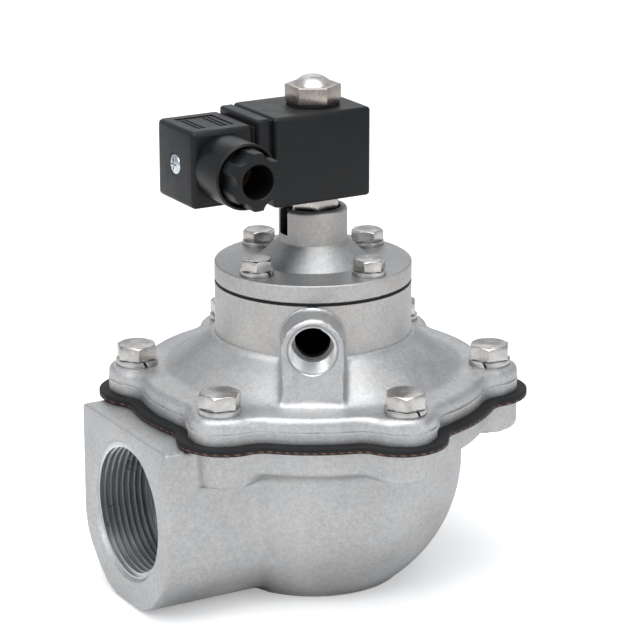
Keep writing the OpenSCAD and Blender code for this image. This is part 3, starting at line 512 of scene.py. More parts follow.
def rough_casting(node, name, stock, plugs, waste, keep):
    """The casting as it leaves the mould: the solid less its waste, with machining stock on its faces
    and its bores still full, skinned again so that its corners and hollows are round. keep is the
    share of the skin's triangles that stays."""
    obj = bpy.data.objects.new(name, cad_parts[node].data.copy())
    scene.collection.objects.link(obj)
    obj.data.materials.clear()
    alone(obj)
    bpy.ops.object.mode_set(mode="EDIT")
    bpy.ops.mesh.select_all(action="SELECT")
    bpy.ops.mesh.remove_doubles(threshold=0.002 * MM)
    for way, level, height in stock:
        way = Vector(way)
        pick(obj, lambda at, normal: normal.dot(way) > 0.999 and abs(at.dot(way) - level) < 0.05)
        bpy.ops.mesh.extrude_region_move(TRANSFORM_OT_translate={"value": way * height * MM})
    bpy.ops.object.mode_set(mode="OBJECT")
    carve(obj, *waste)
    alone(obj)
    for plug in plugs:
        plug.select_set(True)
    obj.select_set(True)
    bpy.context.view_layer.objects.active = obj
    bpy.ops.object.join()
    modify(obj, "REMESH", mode="VOXEL", voxel_size=SKIN_GRAIN * MM, adaptivity=0.0)
    modify(obj, "SMOOTH", factor=0.5, iterations=SKIN_PASSES)
    modify(obj, "DECIMATE", ratio=keep)
    return obj


def finished(obj, angle=32):
    """Rounds the shading of every edge softer than the angle."""
    alone(obj)
    bpy.ops.object.shade_smooth_by_angle(angle=math.radians(angle))
    return obj


def surfaced(obj, finish, *patches):
    """Gives obj one finish all over, and other finishes where a test of centre and normal says so."""
    obj.data.materials.clear()
    obj.data.materials.append(finish)
    for other, _ in patches:
        obj.data.materials.append(other)
    for face in obj.data.polygons:
        face.material_index = 0
        for k, (_, test) in enumerate(patches):
            if test(face.center / MM, face.normal):
                face.material_index = k + 1
    return obj


def settled(obj, body, slot, *nodes):
    """Says which body a piece moves with and hides the solids that it stands for. slot is not used."""
    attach(obj, body)
    if nodes:
        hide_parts(*nodes)
    return obj


plug_r, plug_end = 24.6, PIPE_DEPTH - 1.5
inlet_plug = rod(plug_r, (INLET_FACE - 0.3, 0, INLET_AXIS), (INLET_FACE + plug_end, 0, INLET_AXIS))
outlet_plug = rod(plug_r, (0, 0, -3.2), (0, 0, plug_end))
bosses = []
for a, foot in zip(BOLT_ANGLES, (54, 54, 52, 52, 54, 54)):
    boss = rod(LOBE_R, (LOBE_CIRCLE, 0, foot), (LOBE_CIRCLE, 0, JOINT), "bolt_boss")
    carve(boss, block((49, -LOBE_R, foot), (LOBE_CIRCLE, LOBE_R, JOINT)), operation="UNION")
    bosses.append(placed(bevelled(boss, 0.9, 2, 50), turn=Matrix.Rotation(a, 4, "Z")))
cove = bend(BOWL_R + COVE, FLANGE_FOOT - COVE, COVE, 90, 180, 6)
under = turned([(80, FLANGE_FOOT), *cove, (BOWL_R, 36), (80, 36), (80, FLANGE_FOOT)], "under_flange")
block_top = block((-90, -40, JOINT - 0.2), (-50, 40, JOINT + 9))
carve(under, block((-90, -INLET_HALF, 30), (-20, INLET_HALF, 60)))
cove_ring = turned([(50, FLANGE_FOOT + 2), (BOWL_R + COVE, FLANGE_FOOT + 2), *cove, (BOWL_R, 43), (50, 43),
                    (50, FLANGE_FOOT + 2)], "cove_ring")
flange = flange_blank(FLANGE_FOOT, JOINT + 4, "body_flange")
for ring in (cove_ring, flange):
    carve(ring, rod(21, (-90, 0, INLET_AXIS), (-36, 0, INLET_AXIS)))
corners = (((INLET_HALF - INLET_CHAMFER, 0.5), -28), ((INLET_HALF, 0.5 + INLET_CHAMFER), -35))
corner_waste = [soft_corner(corner, side, reach) for side in (-1, 1) for corner, reach in corners]
body = rough_casting("valve_body", "valve_casting",
                     [((-1, 0, 0), -INLET_FACE, 0.3), ((0, 0, 1), JOINT, 3), ((0, 0, -1), 0, 3)],
                     [inlet_plug, outlet_plug, cove_ring, flange, *bosses],
                     [under, block_top, *corner_waste], keep=0.45)

carve(body, block((-90, -90, JOINT), (90, 90, 75)), block((-90, -90, -10), (90, 90, 0)),
      block((-90, -90, -10), (INLET_FACE, 90, 90)))
thread_end, relief_r = PIPE_DEPTH - 2, PIPE_ROOT + 0.25
mouth = [(0, -1), (26.3, -1), (24.1, 1.2), (0, 1.2)]
into_inlet = Matrix.Rotation(math.pi / 2, 4, "Y")
inlet_tap = placed(screw_tap(PIPE_CORE, PIPE_ROOT, PIPE_PITCH, -4, thread_end),
                   (INLET_FACE, 0, INLET_AXIS), into_inlet)
inlet_mouth = placed(turned(mouth), (INLET_FACE, 0, INLET_AXIS), into_inlet)
inlet_relief = rod(relief_r, (INLET_FACE + PIPE_DEPTH - 2.1, 0, INLET_AXIS),
                   (INLET_FACE + PIPE_DEPTH, 0, INLET_AXIS))
outlet_tap = screw_tap(PIPE_CORE, PIPE_ROOT, PIPE_PITCH, -4, thread_end)
outlet_mouth = turned(mouth)
outlet_relief = rod(relief_r, (0, 0, PIPE_DEPTH - 2.1), (0, 0, PIPE_DEPTH))
carve(body, inlet_mouth, inlet_tap, inlet_relief, outlet_mouth, outlet_tap, outlet_relief)
carve(body, *[post(4, BOLT_CIRCLE, a, 52.7, 70, 48) for a in BOLT_ANGLES])

cast_skin = blasted_aluminium("blasted_casting", light=0.485, warm=0.002)
inlet_skin = blasted_aluminium("faced_inlet", light=0.51, warm=-0.004, grain=0.5)
# The inlet thread: its pale, bluish colour is partly a painted highlight on the crests, and its grooves
# get painted shade.
thread_skin = milled_aluminium("cut_thread", light=0.84, across=((1, 0), (2, INLET_AXIS)), warm=-0.02,
                               crest=PIPE_CORE)
joint_skin = milled_aluminium("faced_joint", light=0.64, across=((0, 0), (1, 0)))


def on_inlet_face(at, normal):
    """The inlet's faced end, with the chamfer of its mouth."""
    return (at.x < INLET_FACE + 0.05
            or (at.x < INLET_FACE + 1.3 and math.hypot(at.y, at.z - INLET_AXIS) < 26))


def in_inlet(at, normal):
    return (INLET_FACE + 0.05 < at.x < INLET_FACE + PIPE_DEPTH
            and math.hypot(at.y, at.z - INLET_AXIS) < 24.05)


def on_joint_or_outlet(at, normal):
    return (at.z > JOINT - 0.1 or at.z < 0.1
            or (at.z < PIPE_DEPTH and math.hypot(at.x, at.y) < 24.3))


surfaced(body, cast_skin, (inlet_skin, on_inlet_face), (thread_skin, in_inlet),
         (joint_skin, on_joint_or_outlet))
finished(body)
settled(body, "valve", "cast_aluminium", "valve_body")


# ---- Main diaphragm -----------------------------------------------------------------------------
# Black nitrile on a woven ply, punched to the flange's outline and a little larger, so that its edge
# stands out of the joint. The ply shows along that edge as a line of brown stitches. The clamped rim
# stays still with the valve, and the web inside it is a separate turned piece.

DIAPHRAGM_TOP = 67.5
CHAMBER_R = 48.0
PROUD = 4.0
SEAT, WEB_TOP = 59.5, 62.0
BOLT_HOLE = 4.5


def black_rubber(name, grey=0.006):
    """Nitrile rubber: matt black with a fine tooth and dusty patches."""
    f = Finish(name, ior=1.36)
    dust = f.noise(14, 3)
    tooth = f.noise(0.35, 2)
    colour = f.blend(f.ramp(dust, 0, 1, 0.35, 0.7), rgb(grey), rgb(grey * 2.1, 0.03))
    roughness = f.ramp(dust, 0.60, 0.78, 0.3, 0.7)
    return f.feed(base_color=colour, roughness=roughness, normal=f.bump(tooth, 0.05))


def stitched_rubber():
    """The diaphragm's own rubber, with its brown ply showing as slanted stitches low on its edge."""
    f = Finish("stitched_rubber", ior=1.36)
    x, y, z = f.axis()
    angle = f.node("Math", {"operation": "ARCTAN2"}, {0: y, 1: x})
    beat = f.node("Math", {"operation": "SINE"}, {0: angle * 138 + z * (2.2 / MM)})
    wander = f.noise(3.5, 2)
    level = z - (65.75 * MM) + (wander - 0.5) * (0.55 * MM)
    height = f.node("Math", {"operation": "ABSOLUTE"}, {0: level})
    reach = f.node("Math", {"operation": "SQRT"}, {0: x * x + y * y})
    line = height.below(0.30 * MM) * reach.above(60 * MM)
    stitch = line * f.ramp(beat + (f.noise(1.1, 2) - 0.5) * 2.4, 0.15, 1, -0.35, 0.55)
    dust = f.noise(11, 3)
    rubber = f.blend(f.ramp(dust, 0, 1, 0.35, 0.7), rgb(0.004, -0.1), rgb(0.011, -0.06))
    thread = f.blend(f.noise(0.6, 1), (0.075, 0.032, 0.022, 1), (0.21, 0.105, 0.075, 1))
    colour = f.blend(stitch, rubber, thread)
    tooth = f.noise(0.4, 2)
    return f.feed(base_color=colour, roughness=f.ramp(dust, 0.5, 0.68, 0.3, 0.7),
                  normal=f.bump(tooth * 0.4 + stitch * 1.2, 0.12))


rim = bevelled(sheet_of(lobed_outline(PROUD), JOINT, DIAPHRAGM_TOP, "diaphragm_rim"), 0.45, 3, 50)
carve(rim, rod(CHAMBER_R, (0, 0, JOINT - 2), (0, 0, DIAPHRAGM_TOP + 2)))
carve(rim, *[post(BOLT_HOLE, BOLT_CIRCLE, a, 60, 70, 48) for a in BOLT_ANGLES])
surfaced(rim, stitched_rubber())
finished(rim, 40)
settled(rim, "valve", "diaphragm_rubber", "main_diaphragm")

rubber_skin = black_rubber("diaphragm_rubber")
web = turned([(3.9, SEAT), (33.2, SEAT), (34.4, SEAT + 0.9), (CHAMBER_R - 1.5, 65.7), (CHAMBER_R, 65.9),
              (CHAMBER_R, 66.9), (CHAMBER_R - 1.9, 66.8), (34.2, 62.3), (33.2, WEB_TOP), (3.9, WEB_TOP),
              (3.9, SEAT)], "diaphragm_web")
surfaced(web, rubber_skin)
finished(web, 40)
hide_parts("main_diaphragm")
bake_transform(web)


# ---- Plates, screw and spring of the main diaphragm ---------------------------------------------
# Two stainless pressings clamp the rubber between a hex screw and a nut. The return spring is wound
# from stainless wire and stands between the top plate and the cover's ceiling.

def stainless(name, light, warm=0.035, rough=0.24):
    """Stainless steel of a headed screw: drawn, faintly brown, with soft streaks and small scuffs."""
    f = Finish(name, metallic=1.0)
    streak = f.noise(0.5, 3, z_scale=0.12)
    cloud = f.noise(5, 3)
    scuff = f.noise(1.3, 2)
    colour = f.blend(f.ramp(cloud, 0, 1, 0.35, 0.65), rgb(light * 0.80, warm * 1.8),
                     rgb(light * 1.18, warm * 0.6))
    roughness = f.ramp(cloud, rough - 0.05, rough + 0.09, 0.3, 0.7) + f.ramp(scuff, 0, 0.12, 0.6, 0.75)
    return f.feed(base_color=colour, roughness=roughness, normal=f.bump(streak * 0.7 + scuff * 0.5, 0.02))


def dressed(finish, *nodes):
    """Gives CAD pieces that are used as they are their finish."""
    for node in nodes:
        surfaced(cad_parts[node], finish)


def wound_spring(name, r, wire, z0, z1, turns, finish):
    """A compression spring with its ends ground flat."""
    pitch = (z1 - z0) / turns
    start = z0 - wire / 2 - 0.4
    bpy.ops.object.select_all(action="DESELECT")
    bpy.ops.mesh.primitive_circle_add(vertices=14, radius=wire / 2 * MM, location=(r * MM, 0, start * MM),
                                      rotation=(math.pi / 2, 0, 0))
    obj = bpy.context.object
    obj.name = name
    bpy.ops.object.transform_apply()
    whole = (z1 - z0 + wire + 0.8) / pitch
    modify(obj, "SCREW", screw_offset=pitch * whole * MM, angle=whole * 2 * math.pi,
           steps=round(36 * whole), render_steps=round(36 * whole))
    bpy.ops.object.mode_set(mode="EDIT")
    trim(z0, z1)
    return finished(surfaced(closed_up(obj), finish), 45)


plate_steel = stainless("plate_steel", light=0.58, warm=0.01, rough=0.3)
spring_steel = stainless("spring_wire", light=0.42, warm=0.0, rough=0.3)
dressed(plate_steel, "diaphragm_top_plate", "diaphragm_bottom_disc", "diaphragm_screw",
        "diaphragm_washer", "diaphragm_nut")

CEILING = 84.2
spring = wound_spring("return_spring", r=16, wire=2, z0=64.5, z1=CEILING, turns=5, finish=spring_steel)
settled(spring, "valve", "spring_steel", "main_spring")
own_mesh(spring)


# ---- Main cover ---------------------------------------------------------------------------------
# The second casting: a lobed flange, a cone up to a round neck, and the exhaust port's boss, which
# leans against cone and neck. The neck and its top are turned in the lathe, the bolt seats are
# spot-faced, and the port is drilled and tapped.

COVER_TOP = 76.4
NECK_R = 34.64
NECK_FOOT = 89.7
NECK_TOP = 107.5
PORT_WAY = math.radians(240)
PORT_AXIS = 96.0
PORT_FACE = 47.93
PORT_LEAN = math.radians(6.9)
PORT_CORE, PORT_ROOT, PORT_PITCH = 7.48, 8.33, 1.337
BOSS_R = 11.6
CAP_CIRCLE = 27.35
CAP_ANGLES = [math.radians(a) for a in (15, 105, 195, 285)]

port_turn = Matrix.Rotation(PORT_WAY, 4, "Z")


def towards_port(obj):
    """Turns a tool that was made along +X, at the port's height, to the port's direction."""
    return placed(obj, (0, 0, 0), port_turn)


cover_flange = flange_blank(DIAPHRAGM_TOP - 4, COVER_TOP, "cover_flange")
hole_plugs = [post(3.6, CAP_CIRCLE, a, 92.5, NECK_TOP + 2.5, 32) for a in CAP_ANGLES]
port_plug = towards_port(rod(9, (36.4, 0, PORT_AXIS), (PORT_FACE - 0.6, 0, PORT_AXIS)))
neck_stock = turned([(33.5, NECK_FOOT - 0.6), (NECK_R + 0.9, NECK_FOOT - 0.6),
                     (NECK_R + 0.9, NECK_TOP + 3), (33.5, NECK_TOP + 3), (33.5, NECK_FOOT - 0.6)])
cover = rough_casting("main_cover", "cover_casting",
                      [((0, 0, -1), -DIAPHRAGM_TOP, 3), ((0, 0, 1), NECK_TOP, 3)],
                      [cover_flange, *hole_plugs, port_plug, neck_stock], [], keep=0.5)
carve(cover, block((-90, -90, 50), (90, 90, DIAPHRAGM_TOP)), block((-60, -60, NECK_TOP), (60, 60, 120)))

# The lathe tool takes the neck's stock off down to the boss, which stays as cast.
lathe = turned([(NECK_R, NECK_FOOT), (NECK_R + 8, NECK_FOOT), (NECK_R + 8, NECK_TOP + 2),
                (NECK_R, NECK_TOP + 2), (NECK_R, NECK_FOOT)])
carve(lathe, towards_port(rod(BOSS_R, (20, 0, PORT_AXIS), (60, 0, PORT_AXIS))),
      towards_port(block((20, -BOSS_R, 70), (60, BOSS_R, PORT_AXIS))))
carve(cover, lathe)
for a in BOLT_ANGLES:
    carve(cover, post(8.6, BOLT_CIRCLE, a, COVER_TOP - 0.02, COVER_TOP + 3),
          post(BOLT_HOLE, BOLT_CIRCLE, a, 60, 80, 48))
carve(cover, *[post(3, CAP_CIRCLE, a, 93.8, 110, 40) for a in CAP_ANGLES])
tap_turn = port_turn @ Matrix.Rotation(-math.pi / 2, 4, "Y")
port_tap = placed(screw_tap(PORT_CORE, PORT_ROOT, PORT_PITCH, -3, 11.2, steps=64),
                  on_circle(PORT_FACE, PORT_WAY, PORT_AXIS), tap_turn)
port_duct = towards_port(rod(6.1, (20, 0, PORT_AXIS), (40, 0, PORT_AXIS)))
mouth_turn = port_turn @ Matrix.Rotation(-math.pi / 2 - PORT_LEAN, 4, "Y")
port_mouth = placed(turned([(0, -2), (10.8, -2), (8.4, 0.4), (0, 0.4)]),
                    on_circle(PORT_FACE, PORT_WAY, PORT_AXIS), mouth_turn)
port_end = towards_port(rod(PORT_CORE, (PORT_FACE - 12, 0, PORT_AXIS), (PORT_FACE - 11, 0, PORT_AXIS)))
carve(cover, port_mouth, port_tap, port_end, port_duct)
# A thin fin along the flange's edge, where the halves of its mould met.
fin = sheet_of(lobed_outline(0.65), COVER_TOP - 5.4, COVER_TOP - 4.8, "mould_fin")
carve(fin, rod(55, (0, 0, 60), (0, 0, 80)), *[post(9, BOLT_CIRCLE, a, 60, 80) for a in BOLT_ANGLES])
carve(cover, fin, operation="UNION")

cover_skin = blasted_aluminium("blasted_cover", light=0.53, warm=-0.006)
# The neck's warm tint is a painted warm reflection of light; its finer grain is its own, from the lathe.
neck_skin = blasted_aluminium("turned_neck", light=0.515, warm=0.020, grain=0.38)
# The port thread, with painted shade in its grooves.
port_skin = milled_aluminium("tapped_port", light=0.70, across=((1, 0), (2, PORT_AXIS)),
                             crest=PORT_CORE, way=PORT_WAY)
# Painted shade: a near-black colour inside the neck's bore and the collar's mouth, where little light
# reaches.
passage_painted_shade = blasted_aluminium("painted_shade_passage", light=0.05, warm=0.01)
cover_joint = milled_aluminium("faced_cover", light=0.64, across=((0, 0), (1, 0)))


def on_neck(at, normal):
    return (at.z > NECK_FOOT - 0.2 and abs(math.hypot(at.x, at.y) - NECK_R) < 0.12
            and abs(normal.z) < 0.2)


def in_port(at, normal):
    turned_at = Matrix.Rotation(-PORT_WAY, 3, "Z") @ at
    return turned_at.x > 34 and 6.2 < math.hypot(turned_at.y, turned_at.z - PORT_AXIS) < PORT_ROOT + 0.3


# The neck's bore, which gets painted shade.
def in_passage(at, normal):
    return 88 < at.z < NECK_TOP - 0.1 and math.hypot(at.x, at.y) < 33


surfaced(cover, cover_skin, (neck_skin, on_neck),
         (cover_joint, lambda at, normal: at.z > NECK_TOP - 0.1 or at.z < DIAPHRAGM_TOP + 0.1),
         (passage_painted_shade, in_passage), (port_skin, in_port))
finished(cover)
settled(cover, "valve", "cast_aluminium", "main_cover")


# ---- Cover bolts and their washers --------------------------------------------------------------
# M8 hex screws of stainless steel: forged heads with turned corners, a washer face and a rolled
# thread, on split spring washers. Each head stands as the spanner left it.

BOLT_TURNS = [0, 15, 10, -12, 1, -5]
BOLT_GAPS = [60, 60, 268, 60, 277, 225]


def hex_bar(af, z0, z1, turn, name):
    """A hexagon bar about the Z axis, with two corners on the X axis before it is turned."""
    obj = rod(af / 2 / math.cos(math.pi / 6), (0, 0, z0), (0, 0, z1), name, sides=6)
    return placed(obj, turn=Matrix.Rotation(math.pi / 6 + math.radians(turn), 4, "Z"))


def corners_turned(obj, af, z0, z1, face=0.0):
    """Turns the corners off a hexagon's upper end, and leaves a washer face of height face below."""
    outer, flat = af / 2 / math.cos(math.pi / 6) + 0.3, af / 2 * 0.95
    slope = math.tan(math.pi / 6)
    foot = flat if face else outer - 0.75
    limits = [(0, z0 - 1), (foot, z0 - 1), (foot, z0 + face), (outer, z0 + max(face, 0.35)),
              (outer, z1 - (outer - flat) * slope), (flat - 1, z1 + slope), (0, z1 + slope)]
    return bevelled(carve(obj, turned(limits), operation="INTERSECT"), 0.13, 2, 24)


def hex_screw(af, head, core, outer, pitch, length, name):
    """A hex screw about the Z axis, with its head on z = 0."""
    obj = corners_turned(hex_bar(af, 0, head, 0, name), af, 0, head, 0.3)
    thread = screw_tap(core, outer, pitch, -length, -2, steps=32)
    return carve(obj, thread, rod(outer, (0, 0, -2.2), (0, 0, 0.2), sides=32), operation="UNION")


def split_ring(bore, outer, thick, name):
    """A split spring washer on z = 0, its slanted gap on +X."""
    obj = turned([(bore, 0), (outer, 0), (outer, thick), (bore, thick), (bore, 0)], name, 80)
    bevelled(obj, 0.18, 2, 40)
    gap = block((bore / 2, -0.45, -3), (outer * 2, 0.45, 3))
    return carve(obj, placed(gap, (0, 0, thick / 2), Matrix.Rotation(math.radians(25), 4, "X")))


bolt_steel = stainless("bolt_steel", light=0.50)
washer_steel = stainless("washer_steel", light=0.50, warm=0.01, rough=0.3)
bolt = hex_screw(af=13, head=5.3, core=3.25, outer=3.9, pitch=1.25, length=25, name="cover_screws")
bolts = ranked(bolt, BOLT_CIRCLE, BOLT_ANGLES, COVER_TOP + 2, BOLT_TURNS)
settled(finished(surfaced(bolts, bolt_steel)), "valve", "stainless_steel", "cover_bolts")
washer = split_ring(bore=4.1, outer=7.4, thick=2, name="cover_split_rings")
washers = ranked(washer, BOLT_CIRCLE, BOLT_ANGLES, COVER_TOP, BOLT_GAPS)
settled(finished(surfaced(washers, washer_steel)), "valve", "stainless_steel", "cover_spring_washers")


# ---- Pilot diaphragm ----------------------------------------------------------------------------
# A thin rubber disc that closes the pilot seat. Its rim is clamped under the pilot cap and shows as a
# black line, and its web follows the pilot plate. The plate and rivet are the CAD's own.

PILOT_R = 21.5
CAP_FOOT = NECK_TOP + 1
CAP_HOLE = 3.25
PILOT_ROOF = 116.9

pilot_rim = turned([(PILOT_R, NECK_TOP), (34.4, NECK_TOP), (34.6, NECK_TOP + 0.25),
                    (34.6, NECK_TOP + 0.75), (34.4, CAP_FOOT), (PILOT_R, CAP_FOOT), (PILOT_R, NECK_TOP)],
                   "pilot_rim")
carve(pilot_rim, *[post(CAP_HOLE, CAP_CIRCLE, a, 106, 110, 40) for a in CAP_ANGLES])
surfaced(pilot_rim, black_rubber("pilot_rubber", 0.004))
settled(finished(pilot_rim), "valve", "diaphragm_rubber", "pilot_diaphragm")

pilot_web = turned([(2.1, 105.8), (13.5, 105.8), (14.6, 106.15), (20.4, 107.35), (PILOT_R, NECK_TOP),
                    (PILOT_R, 108.4), (20.3, 108.2), (14.3, 107.1), (13.3, 106.8), (2.1, 106.8),
                    (2.1, 105.8)], "pilot_web")
surfaced(pilot_web, rubber_skin)
finished(pilot_web)
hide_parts("pilot_diaphragm")
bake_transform(pilot_web)

pilot_coil = wound_spring("pilot_return_spring", r=5.5, wire=0.9, z0=108.3, z1=PILOT_ROOF, turns=5,
                          finish=spring_steel)
settled(pilot_coil, "valve", "spring_steel", "pilot_spring")
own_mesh(pilot_coil)


# ---- Pilot cap ----------------------------------------------------------------------------------
# Turned from bar: a flanged disc, a cone and a collar whose mouth takes the solenoid's tube. A slot
# in the collar lets the pilot air out. All of it is blasted, the disc's side and the collar finer.

CAP_SEAT = 114.8
CONE_TOP = 123.4
COLLAR_TOP = 134.3
CAP_TURNS = [24, -17, 1, -16]
CAP_GAPS = [60, 60, 290, 60]

cap = turned([(0, CAP_FOOT), (34.34, CAP_FOOT), (NECK_R, CAP_FOOT + 0.3),
              *bend(NECK_R - 0.65, CAP_SEAT - 0.65, 0.65, 0, 90, 4),
              *bend(20.6, CAP_SEAT + 1, 1, -90, -132, 3), *bend(12.6, 122.6, 0.6, 228, 180, 3),
              *bend(10.7, COLLAR_TOP - 1.3, 1.3, 0, 90, 6), (0, COLLAR_TOP)], "cap_turning", 160)
carve(cap, turned([(0, 107), (PILOT_R, 107), (PILOT_R, 110), (6.95, CAP_SEAT), (6.95, PILOT_ROOF),
                   (0, PILOT_ROOF)]),
      rod(1.2, (0, 0, 116), (0, 0, 126), sides=32),
      turned([(2.2, 121.5), (6.5, 121.5), (6.5, 129), (0, 129), (0, 124), (2.2, 124), (2.2, 121.5)]),
      rod(7, (0, 0, 127.7), (0, 0, 133)),
      turned([(0, 132.5), (9.6, 132.5), (9.6, COLLAR_TOP - 0.3), (10.4, COLLAR_TOP + 0.5),
              (0, COLLAR_TOP + 0.5)]),
      block((-14, -2.6, 125.3), (0, 2.6, 137)),
      *[post(CAP_HOLE, CAP_CIRCLE, a, 106, 117, 40) for a in CAP_ANGLES])
bevelled(cap, 0.16, 2, 50)

# The disc's side, in line with the neck, has the same painted warm reflection as the neck.
disc_side = blasted_aluminium("cap_side", light=0.50, warm=0.020, grain=0.38)
disc_top = blasted_aluminium("cap_top", light=0.40, warm=-0.010, grain=0.45)
cap_cone = blasted_aluminium("cap_cone", light=0.41, warm=-0.008)
# The collar is darker than the disc's side: painted shade from the coil above it. Its finer grain is its
# own.
collar_painted_shade = blasted_aluminium("turned_collar_painted_shade", light=0.44, warm=0.032, grain=0.38)


def on_cone(at, normal):
    return CAP_SEAT + 0.1 < at.z < CONE_TOP and math.hypot(at.x, at.y) > 11.5


# The collar's mouth, which gets painted shade.
def in_collar(at, normal):
    return 124 < at.z < COLLAR_TOP - 0.35 and math.hypot(at.x, at.y) < 10.5


surfaced(cap, disc_side, (disc_top, lambda at, normal: abs(at.z - CAP_SEAT) < 0.12), (cap_cone, on_cone),
         (collar_painted_shade, lambda at, normal: at.z > CONE_TOP), (passage_painted_shade, in_collar))
settled(finished(cap), "valve", "machined_aluminium", "pilot_cap")

cap_screw = hex_screw(af=10, head=4, core=2.4, outer=2.9, pitch=1, length=20, name="cap_screws")
cap_screws = ranked(cap_screw, CAP_CIRCLE, CAP_ANGLES, CAP_SEAT + 1.6, CAP_TURNS)
settled(finished(surfaced(cap_screws, bolt_steel)), "valve", "stainless_steel", "cap_bolts")
cap_washer = split_ring(bore=3.1, outer=5.9, thick=1.6, name="cap_split_rings")
cap_washers = ranked(cap_washer, CAP_CIRCLE, CAP_ANGLES, CAP_SEAT, CAP_GAPS)
settled(finished(surfaced(cap_washers, washer_steel)), "valve", "stainless_steel", "cap_spring_washers")


# ---- Solenoid tube and what moves in it ---------------------------------------------------------
# A nickel-plated tube with a hex base, screwed into the collar on a rubber ring. The fixed core closes
# it above and carries the stud, and the plunger with its spring lifts off the nozzle below.

HEX_FOOT, HEX_TOP = 133.9, 139.15


def nickel(name, light=0.50, warm=0.06, rough=0.27):
    """Nickel plate on turned steel: warm grey, with fine sawn lines up the flats and tiny pits."""
    f = Finish(name, metallic=1.0)
    grain = f.noise(0.42, 3, z_scale=0.25)
    pits = f.noise(0.8, 2)
    cloud = f.noise(6, 2)
    colour = f.blend(f.ramp(grain + cloud * 0.6, 0, 1, 0.5, 1.05), rgb(light * 0.72, warm * 1.5),
                     rgb(light * 1.22, warm * 0.5))
    roughness = f.ramp(cloud, rough - 0.05, rough + 0.08, 0.3, 0.7)
    return f.feed(base_color=colour, roughness=roughness, normal=f.bump(grain * 0.8 + pits * 0.6, 0.03))


nickel_skin = nickel("nickel_plate")
core_skin = stainless("core_steel", light=0.55, warm=0.01, rough=0.3)
tube = corners_turned(hex_bar(16, HEX_FOOT, HEX_TOP, 12, "guide_tube"), 16, HEX_FOOT, HEX_TOP)
carve(tube, rod(6.9, (0, 0, 127.7), (0, 0, 134.2)), rod(6.5, (0, 0, 138.9), (0, 0, 163.15)),
      operation="UNION")
carve(tube, rod(5.5, (0, 0, 120), (0, 0, 170)))
settled(finished(surfaced(tube, nickel_skin)), "valve", "nickel_steel", "armature_tube")

dressed(core_skin, "fixed_core", "plunger")
dressed(rubber_skin, "tube_seal", "plunger_seal", "nut_ring", "connector_gasket")
dressed(plate_steel, "pilot_plate")

plunger_coil = wound_spring("plunger_return_spring", r=2.4, wire=0.6, z0=139.35, z1=149.15, turns=8,
                            finish=spring_steel)
settled(plunger_coil, "valve", "spring_steel", "plunger_spring")
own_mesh(plunger_coil)


# ---- Coil ---------------------------------------------------------------------------------------
# The winding is moulded into a block of black filled nylon with rounded edges. On its connector side
# stands the terminal base, a band that is parted from the block by a groove.

CONTACT_Z = 155.55


def black_nylon(name, grey=0.006, rough=0.34, cool=-0.10):
    """Glass-filled nylon: near black, finely spark-eroded, and a little scuffed."""
    f = Finish(name, ior=1.35)
    spark = f.noise(0.28, 2)
    wear = f.noise(7, 4)
    flow = f.noise(25, 2)
    colour = f.blend(f.ramp(flow + wear * 0.5, 0, 1, 0.5, 1.0), rgb(grey * 0.8, cool),
                     rgb(grey * 1.35, cool))
    roughness = f.ramp(wear, rough - 0.07, rough + 0.09, 0.3, 0.7)
    return f.feed(base_color=colour, roughness=roughness, normal=f.bump(spark, 0.035))


def moulded_block(low, high, radius, name):
    return bevelled(block(low, high, name), radius, 5)


nylon = black_nylon("coil_nylon")
coil = moulded_block((-23.5, -15, 139.25), (14.5, 15, 170.65), 1.4, "coil_block")
carve(coil, block((-24.4, -13, 142.2), (-20, 13, 169.7)),
      moulded_block((-29.4, -13.7, 141.45), (-24.1, 13.7, 170.45), 1.1, "terminal_base"),
      operation="UNION")
slots = [block((-31, -9.4, 152.4), (-26.4, -8.6, 158.7)), block((-31, 8.6, 152.4), (-26.4, 9.4, 158.7)),
         block((-31, -3.15, 146.15), (-26.4, 3.15, 146.95))]
carve(coil, rod(6.8, (0, 0, 135), (0, 0, 175)),
      rod(1.5, (-31, 0, CONTACT_Z), (-24.4, 0, CONTACT_Z), sides=32), *slots)
settled(finished(surfaced(coil, nylon), 40), "coil", "black_plastic", "coil_housing")


# ---- Cable connector ----------------------------------------------------------------------------
# A square moulding clipped over the coil's blades and held by one zinc-plated screw. Its cable gland
# points along -Y, with a star-shaped nut that squeezes a brown grommet.

PLUG_X = -41.45


def towards_cable(obj):
    """Turns a piece that was made about +Z to point along -Y from the gland's axis."""
    return placed(obj, (PLUG_X, 0, CONTACT_Z), Matrix.Rotation(math.pi / 2, 4, "X"))


plug = moulded_block((-53.7, -13, 142.2), (-30.4, 13, 168.9), 1.8, "plug_shell")
neck = turned([(0, 12), (11.4, 12), *bend(10.6, 27.7, 0.8, 0, 90, 4), (0, 28.5)], steps=96)
carve(plug, towards_cable(neck), operation="UNION")
carve(plug, block((-49.7, -11, 144.2), (-20, 11, 166.9)),
      towards_cable(turned([(0, 8), (6.2, 8), (6.2, 15), (9.1, 15), (9.1, 25), (10.3, 25), (10.3, 28.1),
                            (10.9, 28.7), (10.9, 30), (0, 30)])),
      rod(1.6, (-60, 0, CONTACT_Z), (-40, 0, CONTACT_Z), sides=32),
      rod(3.8, (-52.5, 0, CONTACT_Z), (-60, 0, CONTACT_Z), sides=64))
# A plain sunk panel and two ribs of the mould on the shell's top.
carve(plug, block((-49.8, -8.2, 168.55), (-35.2, 8.2, 170)))
ribs = [block((x - 0.35, -6.6, 168.2), (x + 0.35, 6.6, 168.85)) for x in (-47.6, -45.9, -39.1, -37.4)]
carve(plug, *ribs, operation="UNION")
settled(finished(surfaced(plug, nylon), 40), "coil", "black_plastic", "connector_housing")

